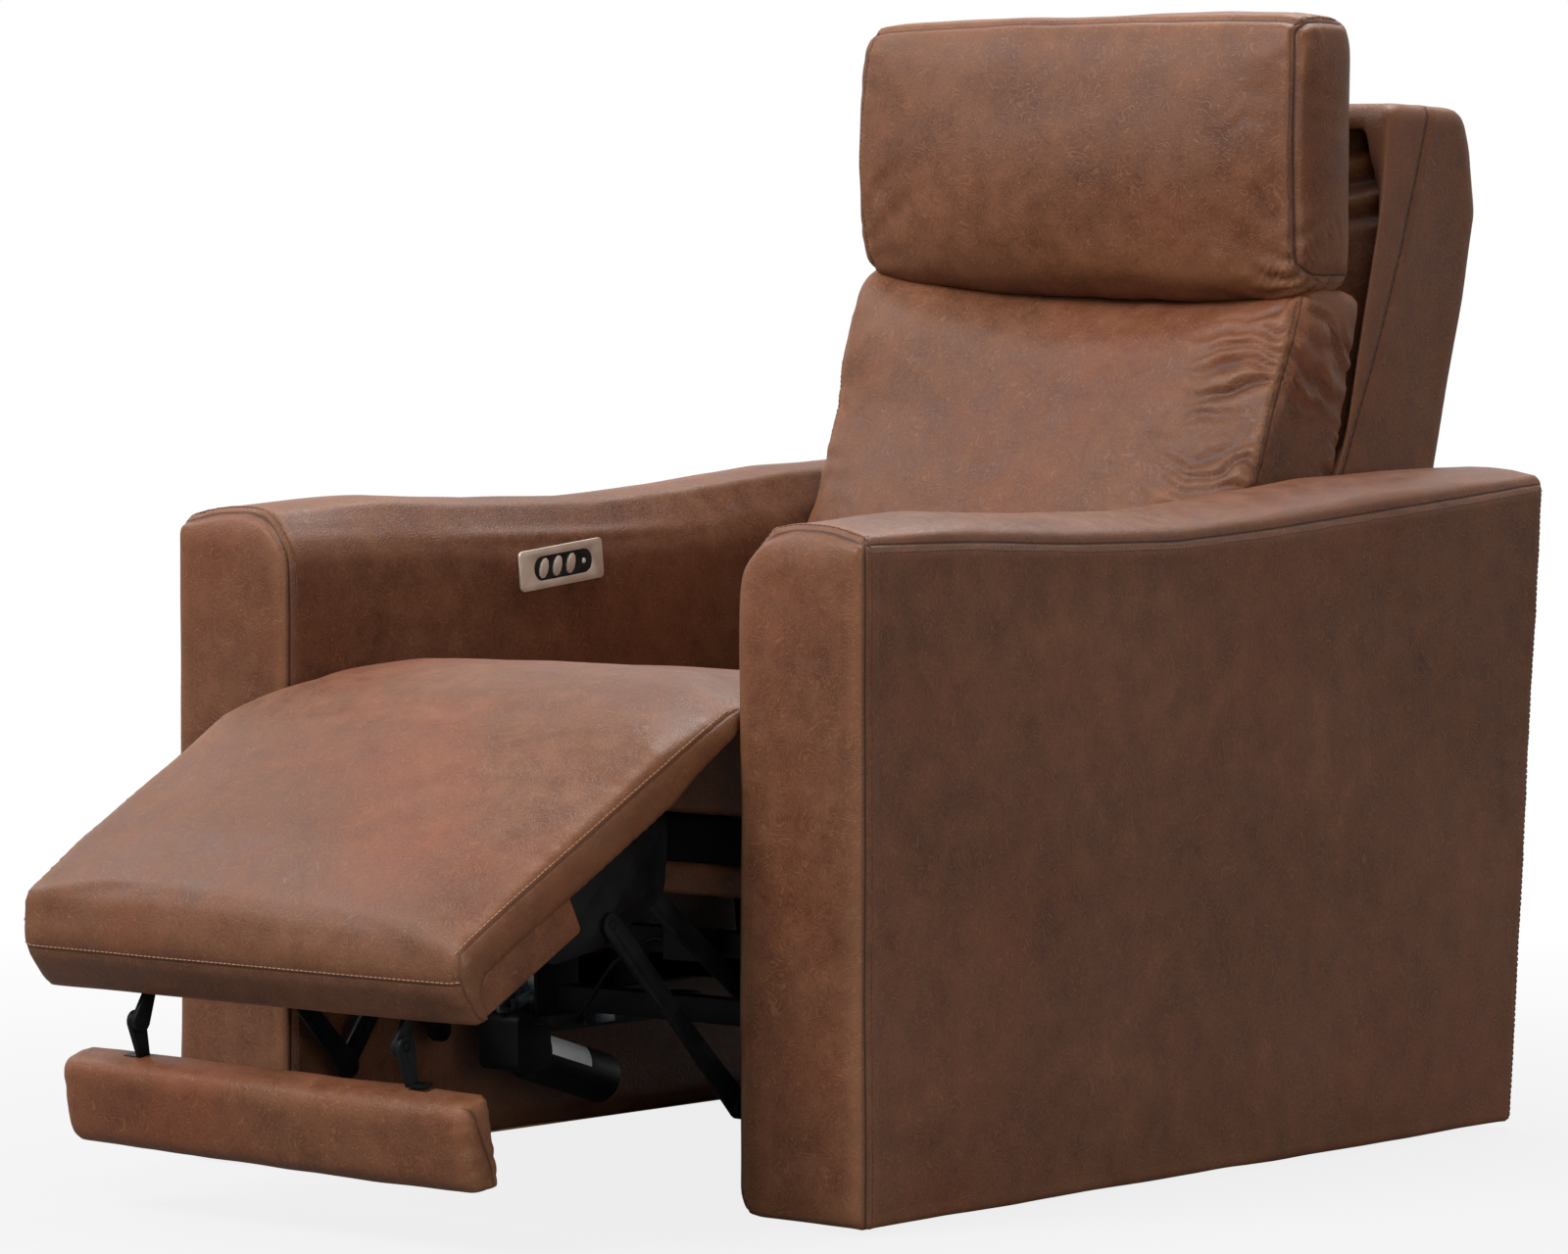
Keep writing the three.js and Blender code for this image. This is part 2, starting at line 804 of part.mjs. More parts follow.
function buttonOutline(index, margin) {
  const shape = new THREE.Shape();
  const centre = button.first + index * button.pitch;
  const lean = degToRad(button.lean);
  const radii = [button.length / 2 + margin, button.width / 2 + margin];
  shape.absellipse(centre, 0, ...radii, 0, 2 * Math.PI, false, Math.PI / 2 - lean);
  return shape;
}

function controls() {
  const half = panel.slotLength / 2;
  const slot = stadium(panel.slotShift - half, panel.slotShift + half, panel.slotHeight);
  const plateShape = roundedRectangle(
    -panel.length / 2,
    panel.length / 2,
    -panel.height / 2,
    panel.height / 2,
    panel.cornerRound,
  );
  plateShape.holes.push(new THREE.Path(slot.getPoints(6).reverse()));
  node("control_plate", onPanel(plateShape, 0, panel.thickness), champagne);

  // The housing behind the plate, with a bezel that fills the slot and holes for the buttons and the lamp
  const inset = half - touchGap;
  const bezelHeight = panel.slotHeight - 2 * touchGap;
  const bezelShape = stadium(panel.slotShift - inset, panel.slotShift + inset, bezelHeight);
  const boxShape = roundedRectangle(
    -panelBox.length / 2,
    panelBox.length / 2,
    -panelBox.height / 2,
    panelBox.height / 2,
    touchGap,
  );
  const trayHalf = panelBox.trayLength / 2;
  const tray = stadium(panel.slotShift - trayHalf, panel.slotShift + trayHalf, panelBox.trayHeight);
  const lampHole = new THREE.Shape().absarc(lamp.offset, 0, lamp.radius + touchGap, 0, 2 * Math.PI);
  const through = bezel.thickness + overrun;
  const holes = [0, 1, 2].map((i) => onPanel(buttonOutline(i, runGap), -overrun, through, 5));
  const housing = join(
    onPanel(boxShape, -panelBox.depth, -touchGap, 1),
    onPanel(bezelShape, -2 * touchGap, bezel.thickness, 6),
  );
  const trayHollow = onPanel(tray, -panelBox.trayDepth, 0, 4);
  const lampBore = onPanel(lampHole, -overrun, through, 5);
  node("control_housing", cut(housing, trayHollow, lampBore, ...holes), blackPlastic);

  ["legrest", "recline", "headrest"].forEach((name, i) => {
    const cap = onPanel(buttonOutline(i, 0), -button.stem, bezel.thickness + button.proud, 5);
    node(name + "_button", cap, champagne);
  });
  const dot = new THREE.Shape().absarc(lamp.offset, 0, lamp.radius, 0, 2 * Math.PI);
  const lens = onPanel(dot, -panelBox.trayDepth + touchGap, bezel.thickness + touchGap, 5);
  node("status_lamp", lens, champagne);
}

// The fixed base between the arms: two channels that the seat slides in, and the tubes that tie them
function baseFrame() {
  const outer = armInner - touchGap;
  const inner = outer - track.depth;
  const top = track.bottom + track.height;
  const channel = cut(
    block(inner, outer, track.front, track.rear, track.bottom, top),
    block(
      inner - overrun,
      outer - track.web,
      track.front - overrun,
      track.rear + overrun,
      track.bottom + track.web,
      top - track.web,
    ),
  );
  pair("track", channel, blackSteel);
  const reach = outer - track.web - touchGap;
  const tube = (y) => {
    const half = baseTube.size / 2;
    const hole = half - baseTube.wall;
    const z = baseTube.bottom + half;
    return cut(
      block(-reach, reach, y - half, y + half, z - half, z + half),
      block(-reach - overrun, reach + overrun, y - hole, y + hole, z - hole, z + hole),
    );
  };
  node("front_base_tube", tube(baseTube.frontY), blackSteel);
  node("rear_base_tube", tube(baseTube.rearY), blackSteel);
}

// Seat carriage

function seatCushion() {
  const y = (share) => lerp(seat.front, seat.rear, share);
  const corners = [
    [knee.y - knee.noseRadius * 0.1, knee.z + knee.noseRadius],
    [y(0), seat.topFront + seat.camber],
    [y(seatHighShare / 2), (seat.topFront + seat.topHigh) / 2 + seat.camber],
    [y(seatHighShare), seat.topHigh],
    [y(0.55), lerp(seat.topHigh, seat.topRear, 0.3)],
    [y(0.8), lerp(seat.topHigh, seat.topRear, 0.66)],
    [y(1), seat.topRear, seat.rearTopRound],
    [y(1), seat.base, seat.rearLowRound],
    [seat.front + seat.toeCut, seat.base],
    [seat.front + seat.toeCut, seat.base + seat.toeCut],
    [seat.front, knee.lipBottom],
    [knee.y, knee.lipBottom],
  ];
  const outline = roundedOutline(corners, 3);
  const noseSteps = 5;
  for (let i = 1; i < noseSteps; i++) {
    const turn = -Math.PI / 2 - (Math.PI * i) / noseSteps;
    outline.push([knee.y + knee.noseRadius * Math.cos(turn), knee.z + knee.noseRadius * Math.sin(turn)]);
  }
  const fade = (y) => Math.min(1, Math.max(0, (y - knee.y - knee.noseRadius) / (seat.front - knee.y)));
  return cushion(outline, seat, facing(0), fade);
}

function seatFrameBody() {
  const half = lane.sidePlate - touchGap;
  const inside = half - frameBox.rail;
  const body = block(-half, half, frameBox.front, frameBox.rear, frameBox.bottom, frameBox.top);
  const middle = block(
    -inside,
    inside,
    frameBox.front + frameBox.rail,
    frameBox.rear - frameBox.rail,
    frameBox.bottom - overrun,
    frameBox.top + overrun,
  );
  return cut(body, middle);
}

// A sinuous spring: a wire bent to and fro across the frame from its front rail to its rear rail
function seatSpring(x) {
  const start = frameBox.front + frameBox.rail / 2;
  const end = frameBox.rear - frameBox.rail / 2;
  const z = frameBox.top + touchGap + spring.wire / 2;
  const points = [];
  for (let i = 0; i <= spring.waves * 2; i++) {
    const reach = spring.reach * (i % 2 ? 1 : -1);
    const y = lerp(start, end, (i + 0.5) / (spring.waves * 2 + 1));
    const step = (end - start) / (spring.waves * 2 + 1) / 4;
    points.push(new THREE.Vector3(x + reach, y - step, z), new THREE.Vector3(x + reach, y + step, z));
  }
  points.unshift(new THREE.Vector3(x, start, z));
  points.push(new THREE.Vector3(x, end, z));
  const section = new THREE.Shape().absarc(0, 0, spring.wire / 2, 0, 2 * Math.PI);
  const flat = new THREE.Shape(section.getSpacedPoints(spring.sides).slice(0, -1));
  const path = new THREE.CatmullRomCurve3(points, false, "catmullrom", 0.1);
  const settings = { extrudePath: path, steps: points.length * 2, bevelEnabled: false };
  return new THREE.ExtrudeGeometry(flat, settings);
}

function seatSprings() {
  for (let i = 0; i < spring.count; i++) {
    const x = (i - (spring.count - 1) / 2) * spring.spacing;
    node("seat_spring_" + (i + 1), seatSpring(x), blackSteel);
  }
}

// A side plate: a long bar under the seat with two legs to the slide shoes and an ear for the back
function sidePlateBody() {
  const legFoot = track.bottom + track.web + sidePlate.legRise;
  const bar = [
    [sidePlate.front, sidePlate.top, sidePlate.noseRound],
    [sidePlate.front, sidePlate.bottom + sidePlate.noseCut, sidePlate.noseRound],
    [sidePlate.front + sidePlate.noseCut, sidePlate.bottom, sidePlate.heelRound],
    ...shoeYs.flatMap((y) => [
      [y - sidePlate.shoeInset * 1.6, sidePlate.bottom, sidePlate.legTopRound],
      [y - sidePlate.shoeInset, legFoot, sidePlate.legFootRound],
      [y + sidePlate.shoeInset, legFoot, sidePlate.legFootRound],
      [y + sidePlate.shoeInset * 1.6, sidePlate.bottom, sidePlate.legTopRound],
    ]),
    [sidePlate.rear, sidePlate.bottom + sidePlate.heelRise, sidePlate.heelRound],
    [sidePlate.rear, recline.z + recline.hub, sidePlate.earRound],
    [recline.y - recline.hub, recline.z + recline.hub, sidePlate.neckRound],
    [recline.y - recline.hub * 2, sidePlate.top, sidePlate.neckRound],
  ];
  const shape = shapeOf(roundedOutline(bar, 4));
  for (const behind of sidePlateHole.behindFront) {
    const hole = new THREE.Path();
    const middle = (sidePlate.bottom + sidePlate.top) / 2;
    hole.absarc(sidePlate.front + behind, middle, sidePlateHole.radius, 0, 2 * Math.PI, true);
    shape.holes.push(hole);
  }
  const plate = sidewise(shape, lane.sidePlate, lane.sidePlate + lane.bar, 5);
  const shoeLow = track.bottom + track.web + runGap;
  const shoeHigh = track.bottom + track.height - track.web - runGap;
  const shoeEnd = armInner - touchGap - track.web - runGap;
  const shoes = shoeYs.map((y) =>
    block(
      lane.sidePlate + lane.bar / 2,
      shoeEnd,
      y - sidePlate.shoeLength / 2,
      y + sidePlate.shoeLength / 2,
      shoeLow,
      shoeHigh,
    ),
  );
  const pivot = (x0, at, radius) => pinAlongX(radius, x0, lane.sidePlate + lane.bar / 2, at.y, at.z);
  return join(
    plate,
    ...shoes,
    pivot(lane.frontLink - runGap, frontPivot, linkBar.pin),
    pivot(lane.bracket + runGap, rearPivot, linkBar.pin),
    pivot(lane.frontLink - runGap, recline, linkBar.pin * 2),
  );
}

function squareTube(size, wall, reach, y, z) {
  const half = size / 2;
  const hole = half - wall;
  return cut(
    block(-reach, reach, y - half, y + half, z - half, z + half),
    block(-reach - overrun, reach + overrun, y - hole, y + hole, z - hole, z + hole),
  );
}

function boreAlongX(half, reach, y, z) {
  return block(-reach, reach, y - half, y + half, z - half, z + half);
}

function hangerPlate() {
  const outline = roundedOutline(
    [
      [hanger.front, frameBox.bottom - touchGap],
      [hanger.front, hanger.bottom, hanger.round],
      [hanger.rear, hanger.bottom, hanger.round],
      [hanger.rear, hanger.neckBottom - hanger.neckDrop, hanger.neckRound],
      [hanger.neckRear, hanger.neckBottom, hanger.round],
      [hanger.neckRear, frameBox.bottom - touchGap],
    ],
    3,
  );
  return sidewise(shapeOf(outline), hanger.x, hanger.x + hanger.thickness);
}

function controlBoxBody() {
  const front = crossTube.upperY - crossTube.size / 2 - touchGap - controlBox.depth;
  const low = crossTube.upperZ - controlBox.height / 2;
  const shape = roundedRectangle(
    controlBox.x - controlBox.width / 2,
    controlBox.x + controlBox.width / 2,
    front,
    front + controlBox.depth,
    touchGap * 8,
  );
  const body = upwards(shape, low, low + controlBox.height, 3);
  const side = controlBox.x + controlBox.width / 2;
  const inletFront = front + controlBox.inletFront;
  const inletLow = low + controlBox.inletBelow;
  const inlet = block(
    side - controlBox.inletDepth,
    side + overrun,
    inletFront,
    inletFront + controlBox.inletWidth,
    inletLow,
    inletLow + controlBox.inletHeight,
  );
  return cut(body, inlet);
}

// The wire loop from the control box to the gear head of the leg rest drive
function harnessLoop() {
  const front = crossTube.upperY - crossTube.size / 2 - touchGap - controlBox.depth;
  const start = controlBox.x - controlBox.width / 2 - touchGap;
  const end = drive.x + driveHead.width / 2 + touchGap;
  const path = harnessPath;
  const inlet = front + path.inlet;
  const headY = driveHead.back - path.headFront;
  const points = [
    new THREE.Vector3(start, inlet, crossTube.upperZ),
    new THREE.Vector3(start - path.out, inlet, crossTube.upperZ + path.rise),
    new THREE.Vector3(path.topX, lerp(front, inlet, 0.33), path.topZ),
    new THREE.Vector3(path.lowX, lerp(front, inlet, 0.5), path.lowZ),
    new THREE.Vector3(path.sagX, lerp(front, inlet, 1.33), path.sagZ),
    new THREE.Vector3(end + path.headLead, headY, path.sagZ),
    new THREE.Vector3(end, headY, path.sagZ),
  ];
  const section = new THREE.Shape().absarc(0, 0, harness.radius, 0, 2 * Math.PI);
  const flat = new THREE.Shape(section.getSpacedPoints(harness.sides).slice(0, -1));
  const wire = new THREE.CatmullRomCurve3(points, false, "catmullrom", 0.4);
  const settings = { extrudePath: wire, steps: harness.steps, bevelEnabled: false };
  return new THREE.ExtrudeGeometry(flat, settings);
}

function seatCarriage() {
  node("seat_cushion", seatCushion(), leather);
  node("seat_frame", seatFrameBody(), hiddenWood);
  seatSprings();
  pair("side_plate", sidePlateBody(), blackSteel);
  const railTop = frameBox.bottom - touchGap;
  const railShape = roundedRectangle(
    frontRail.front,
    frontRail.front + frontRail.depth,
    frontRail.bottom,
    railTop,
    frontRail.round,
  );
  node("front_rail", sidewise(railShape, -frontRail.halfWidth, frontRail.halfWidth, 3), leather);
  const reach = hanger.x + hanger.thickness / 2;
  const crossFrame = join(
    hangerPlate(),
    mirrored(hangerPlate()),
    squareTube(crossTube.size, seatTube.wall, reach, crossTube.upperY, crossTube.upperZ),
    squareTube(crossTube.size, seatTube.wall, reach, crossTube.lowerY, crossTube.lowerZ),
  );
  const boreHalf = crossTube.size / 2 - seatTube.wall;
  const bore = (y, z) => boreAlongX(boreHalf, reach + hanger.thickness, y, z);
  const upperBore = bore(crossTube.upperY, crossTube.upperZ);
  const lowerBore = bore(crossTube.lowerY, crossTube.lowerZ);
  node("cross_tube_frame", cut(crossFrame, upperBore, lowerBore), blackSteel);
  const wide = lane.sidePlate - touchGap;
  const rearTube = squareTube(seatTube.size, seatTube.wall, wide, seatTube.y, seatTube.z);
  node("rear_cross_tube", rearTube, blackSteel);
  node("control_box", controlBoxBody(), blackPlastic);
  node("motor_harness", harnessLoop(), blackPlastic);
}

// Leg rest

function legrestPad() {
  const corners = [
    [pad.root, pad.top],
    [lerp(pad.root, pad.tip, 0.5), pad.top + pad.camber],
    [pad.tip - pad.browBack, pad.top - pad.browDrop, pad.browRound],
    [pad.tip, pad.top * pad.noseShare, pad.noseRound],
    [pad.tip - pad.chinBack, pad.noseUnder + pad.chinRise, pad.chinRound],
    [pad.noseStart, pad.noseUnder],
    [pad.noseStart, pad.under],
    [pad.root, pad.under],
  ];
  const outline = roundedOutline(corners, 4).map(([s, n]) => onLegrest(s, n));
  const body = cushion(outline, legrest, facing(legSlope));
  const kneeClear = pinAlongX(
    knee.noseRadius + runGap * 2,
    -legrest.halfWidth - overrun,
    legrest.halfWidth + overrun,
    knee.y,
    knee.z,
    24,
  );
  return cut(body, kneeClear);
}

function legrestBox() {
  const corners = [
    [legBox.start, pad.under - touchGap, legBox.topRound],
    [legBox.end, pad.under - touchGap, legBox.topRound],
    [legBox.end, legBox.bottom, legBox.round],
    [legBox.start, legBox.bottom, legBox.round],
  ];
  const outline = roundedOutline(corners, 3).map(([s, n]) => onLegrest(s, n));
  return sidewise(shapeOf(outline), -legBox.halfWidth, legBox.halfWidth);
}

// The steel bracket under one side of the leg rest: a lug for each strut, and a flange against the pad
function legrestBracket() {
  const boxUnder = legBox.bottom - touchGap;
  const padUnder = pad.under - touchGap;
  const lugEdge = linkBar.radius + legBracket.border;
  const corners = [
    [legBracket.start, padUnder],
    [legBox.start - touchGap, padUnder],
    [legBox.start - touchGap, boxUnder],
    [legBracket.end, boxUnder],
    [legBracket.end, boxUnder - legBracket.heel, legBracket.heelRound],
    [frontLug.s + lugEdge, frontLug.n - lugEdge, legBracket.lugRound],
    [rearLug.s - lugEdge, rearLug.n - lugEdge, legBracket.lugRound],
    [legBracket.start, rearLug.n * 0.4, legBracket.tailRound],
  ];
  const outline = roundedOutline(corners, 3).map(([s, n]) => onLegrest(s, n));
  const plate = sidewise(shapeOf(outline), lane.bracket, lane.bracket + lane.bar);
  const flangeStart = legBracket.start + legBracket.flangeBack;
  const flangeShape = shapeOf(
    [
      [flangeStart, padUnder],
      [legBox.start - touchGap, padUnder],
      [legBox.start - touchGap, padUnder - legBracket.flangeThickness],
      [flangeStart, padUnder - legBracket.flangeThickness],
    ].map(([s, n]) => onLegrest(s, n)),
  );
  const flangeEnd = lane.bracket + lane.bar / 2;
  const flange = sidewise(flangeShape, lane.bracket - legBracket.flange, flangeEnd);
  const front = asPoint(onLegrest(frontLug.s, frontLug.n));
  const rear = asPoint(onLegrest(rearLug.s, rearLug.n));
  const middle = lane.bracket + lane.bar / 2;
  return join(
    plate,
    flange,
    pinAlongX(linkBar.pin, middle, lane.frontStrut + lane.bar + runGap, front.y, front.z),
    pinAlongX(linkBar.pin, lane.rearStrut - runGap, middle, rear.y, rear.z),
  );
}

// The lug under the feet end of the leg rest that the foot rest hangs from
const footPivot = asPoint(onLegrest(footHinge.s, footHinge.n));
function footLugBody() {
  const boxUnder = legBox.bottom - touchGap;
  const a = onLegrest(footLug.start, boxUnder);
  const b = onLegrest(legBox.end, boxUnder);
  const along = Math.atan2(footPivot.z - (a[1] + b[1]) / 2, footPivot.y - (a[0] + b[0]) / 2);
  const round = arcPoints(footPivot, footHinge.radius, along + Math.PI / 2, along - Math.PI / 2);
  const shape = polygon([a, ...round, b]);
  const plate = sidewise(shape, footLug.x, footLug.x + footLug.thickness, 5);
  const flangeShape = shapeOf(
    [
      [footLug.start, boxUnder],
      [legBox.end, boxUnder],
      [legBox.end, boxUnder - legBracket.flangeThickness],
      [footLug.start, boxUnder - legBracket.flangeThickness],
    ].map(([s, n]) => onLegrest(s, n)),
  );
  const flangeEnd = footLug.x + footLug.thickness / 2;
  const flange = sidewise(flangeShape, footLug.x - footLug.flange, flangeEnd);
  const end = footLug.x + footLug.thickness + runGap + footArm.thickness + runGap;
  const pin = pinAlongX(linkBar.pin, footLug.x + footLug.thickness / 2, end, footPivot.y, footPivot.z);
  return join(plate, flange, pin);
}

function legrestPieces() {
  node("legrest_cushion", legrestPad(), leather);
  node("legrest_board", legrestBox(), leather);
  pair("legrest_bracket", legrestBracket(), blackSteel);
  pair("foot_lug", footLugBody(), blackSteel);
}

// The foot rest: a small cushion that unfolds ahead of the leg rest, drawn up and out from its own middle
const footTilt = degToRad(footRest.tilt);
function onFoot(up, out) {
  return [
    footRest.y + up * Math.sin(footTilt) - out * Math.cos(footTilt),
    footRest.z + up * Math.cos(footTilt) + out * Math.sin(footTilt),
  ];
}

function footCushion() {
  const h = footRest.height / 2;
  const t = footRest.thickness / 2;
  const corners = [
    [-h, -t],
    [-h, t, footRest.lowRound],
    [h, t, footRest.highRound],
    [h, -t],
  ];
  const outline = roundedOutline(corners, 4).map(([up, out]) => onFoot(up, out));
  return cushion(outline, footRest, facing(Math.PI / 2 - footTilt));
}

// The steel arm from the foot rest's hinge to a flange on its top edge
function footArmBody() {
  const top = footRest.height / 2 + touchGap;
  const x0 = footLug.x + footLug.thickness + runGap;
  const a = onFoot(top, footArm.back);
  const b = onFoot(top, footArm.front);
  const along = Math.atan2(footPivot.z - (a[1] + b[1]) / 2, footPivot.y - (a[0] + b[0]) / 2);
  const round = arcPoints(footPivot, footHinge.radius, along - Math.PI / 2, along + Math.PI / 2);
  const shape = polygon([a, ...round, b]);
  const hole = new THREE.Path();
  hole.absarc(footPivot.y, footPivot.z, linkBar.pin + runGap, 0, 2 * Math.PI, true);
  shape.holes.push(hole);
  const plate = sidewise(shape, x0, x0 + footArm.thickness, 5);
  const flangeTop = top + footArm.flangeThickness;
  const outline = [a, b, onFoot(flangeTop, footArm.front), onFoot(flangeTop, footArm.back)];
  const flange = sidewise(shapeOf(outline), x0 + footArm.thickness / 2, x0 + footArm.flange);
  return join(plate, flange);
}

function footPieces() {
  node("foot_cushion", footCushion(), leather);
  pair("foot_arm", footArmBody(), blackSteel);
}

// Links and struts: each link hangs from the side plate, and each strut hangs from the leg rest bracket
function farCorner(pivot, lug) {
  const at = asPoint(onLegrest(lug.s, lug.n));
  return { y: pivot.y + at.y - knee.y, z: pivot.z + at.z - knee.z };
}

function flatLink(x, a, b) {
  const shape = linkShape(a, b, linkBar.radius, linkBar.waist, linkBar.pin + runGap);
  return sidewise(shape, x, x + lane.bar, 4);
}

function linkage() {
  const frontFar = farCorner(frontPivot, frontLug);
  const rearFar = farCorner(rearPivot, rearLug);
  const frontAt = asPoint(onLegrest(frontLug.s, frontLug.n));
  const rearAt = asPoint(onLegrest(rearLug.s, rearLug.n));

  const solidEnd = (x, at) => pinAlongX(linkBar.pin + runGap * 2, x, x + lane.bar, at.y, at.z);
  const pinTo = (x0, x1, at) => pinAlongX(linkBar.pin, x0 - runGap, x1 + weldDepth, at.y, at.z);
  const frontLink = join(
    flatLink(lane.frontLink, frontPivot, frontFar),
    solidEnd(lane.frontLink, frontFar),
    pinTo(lane.frontStrut, lane.frontLink, frontFar),
  );
  pair("front_link", frontLink, blackSteel);
  pair("front_strut", flatLink(lane.frontStrut, frontAt, frontFar), blackSteel);
  pair("rear_strut", flatLink(lane.rearStrut, rearAt, rearFar), blackSteel);

  // The torque tube ties the two rear links, and its crank takes the push of the drive
  const rearLink = join(
    flatLink(lane.bracket, rearPivot, rearFar),
    solidEnd(lane.bracket, rearFar),
    pinTo(lane.rearStrut, lane.bracket, rearFar),
  );
  const reach = lane.bracket + weldDepth;
  const tubeBar = (radius, end) => pinAlongX(radius, -end, end, rearPivot.y, rearPivot.z, 16);
  const tube = cut(
    tubeBar(torqueTube.radius, reach),
    tubeBar(torqueTube.radius - torqueTube.wall, reach + overrun),
  );
  const foot = crankFoot();
  const crankRing = linkShape(rearPivot, foot, linkBar.radius, linkBar.waist, 0);
  const bore = new THREE.Path();
  bore.absarc(rearPivot.y, rearPivot.z, torqueTube.radius - torqueTube.wall / 2, 0, 2 * Math.PI, true);
  crankRing.holes.push(bore);
  const crank = sidewise(crankRing, drive.x - drive.crankThickness, drive.x, 4);
  const crankPinEnd = drive.x + yoke.thickness + 3 * runGap;
  const crankPin = pinAlongX(drive.pin, drive.x - weldDepth, crankPinEnd, foot.y, foot.z);
  node("rear_link_frame", join(tube, rearLink, mirrored(rearLink), crank, crankPin), blackSteel);
}

// The crank hangs forward of upright in the photographed pose
const crankLead = degToRad(drive.crankLead);
function crankFoot() {
  return {
    y: rearPivot.y - drive.crank * Math.sin(crankLead),
    z: rearPivot.z - drive.crank * Math.cos(crankLead),
  };
}

// A drive: a gear head and motor on a rail, with a block that the screw moves along the rail
function driveRail({ x, railStart, railEnd, railBottom, railHeight, railWidth }) {
  const half = railWidth / 2;
  return block(x - half, x + half, railStart, railEnd, railBottom, railBottom + railHeight);
}

function legrestDrive() {
  const rail = cut(
    driveRail(drive),
    block(
      drive.x - drive.railWidth / 2 + drive.trayWall,
      drive.x + drive.railWidth / 2 - drive.trayWall,
      drive.railStart + drive.trayNose,
      drive.railEnd - drive.trayTail,
      drive.railBottom + drive.trayFloor,
      drive.railBottom + drive.railHeight + overrun,
    ),
  );
  const headTop = drive.railBottom + drive.railHeight;
  const shape = roundedRectangle(
    driveHead.back - driveHead.length,
    driveHead.back,
    headTop - driveHead.height,
    headTop,
    driveHead.round,
  );
  const gearHead = sidewise(shape, drive.x - driveHead.width / 2, drive.x + driveHead.width / 2, 4);
  const can = new THREE.CylinderGeometry(motor.radius, motor.radius, motor.length, 20);
  const tilt = degToRad(motor.tilt);
  const middleY = driveHead.back - motor.sunk + (motor.length / 2) * Math.cos(tilt);
  const endZ = drive.railBottom - motor.radius + motor.raised;
  const middleZ = endZ - (motor.length / 2) * Math.sin(tilt);
  can.rotateX(-tilt);
  const body = join(rail, gearHead, placed(can, drive.x, middleY, middleZ));
  const strapX = drive.x - driveHead.width / 2;
  const frontStrap = block(
    strapX,
    strapX + strap.width,
    driveHead.back - strap.front,
    driveHead.back - strap.rear,
    headTop - strap.depth,
    frameBox.bottom - touchGap,
  );
  node("legrest_actuator", join(body, frontStrap), blackPlastic);

  // A saddle on the rail with a slotted plate reaching forward over the gear head to the crank's pin
  const foot = crankFoot();
  const low = headTop + runGap;
  const slotLow = rearPivot.z - drive.crank - drive.pin - overrun;
  const slotHigh = rearPivot.z - drive.crank * Math.cos(degToRad(drive.swing)) + drive.pin + overrun;
  const x0 = drive.x + runGap;
  const x1 = x0 + yoke.thickness;
  const slotY = foot.y + drive.slotShift;
  const half = drive.slotHalf + yoke.border;
  const saddleY = foot.y + drive.saddleBehind;
  const plateOutline = [
    [slotY - half, low, yoke.toeRound],
    [saddleY + yoke.length / 2, low, yoke.heelRound],
    [saddleY + yoke.length / 2, low + yoke.heelHeight, yoke.topRound],
    [slotY + half + yoke.shoulderBack, low + yoke.shoulderHeight, yoke.shoulderRound],
    [slotY + half, slotHigh + yoke.border, yoke.topRound],
    [slotY - half, slotHigh + yoke.border, yoke.topRound],
  ];
  const plate = sidewise(shapeOf(roundedOutline(plateOutline, 3)), x0, x1);
  const slotShape = roundedRectangle(
    slotY - drive.slotHalf,
    slotY + drive.slotHalf,
    slotLow,
    slotHigh,
    drive.slotHalf * 0.9,
  );
  const slot = sidewise(slotShape, x0 - overrun, x1 + overrun, 4);
  const saddle = saddleOver(drive, saddleY);
  node("legrest_drive_block", cut(join(plate, saddle), slot), zinc);
}

// A saddle that stands over a drive's rail with a cheek down each side
function saddleOver({ x, railBottom, railHeight, railWidth }, y) {
  const low = railBottom + railHeight + runGap;
  const inner = railWidth / 2 + runGap;
  const outer = inner + yoke.cheek;
  const bottom = railBottom + yoke.cheek;
  const reach = yoke.length / 2;
  return cut(
    block(x - outer, x + outer, y - reach, y + reach, bottom, low + yoke.top),
    block(x - inner, x + inner, y - reach - overrun, y + reach + overrun, bottom - overrun, low),
  );
}

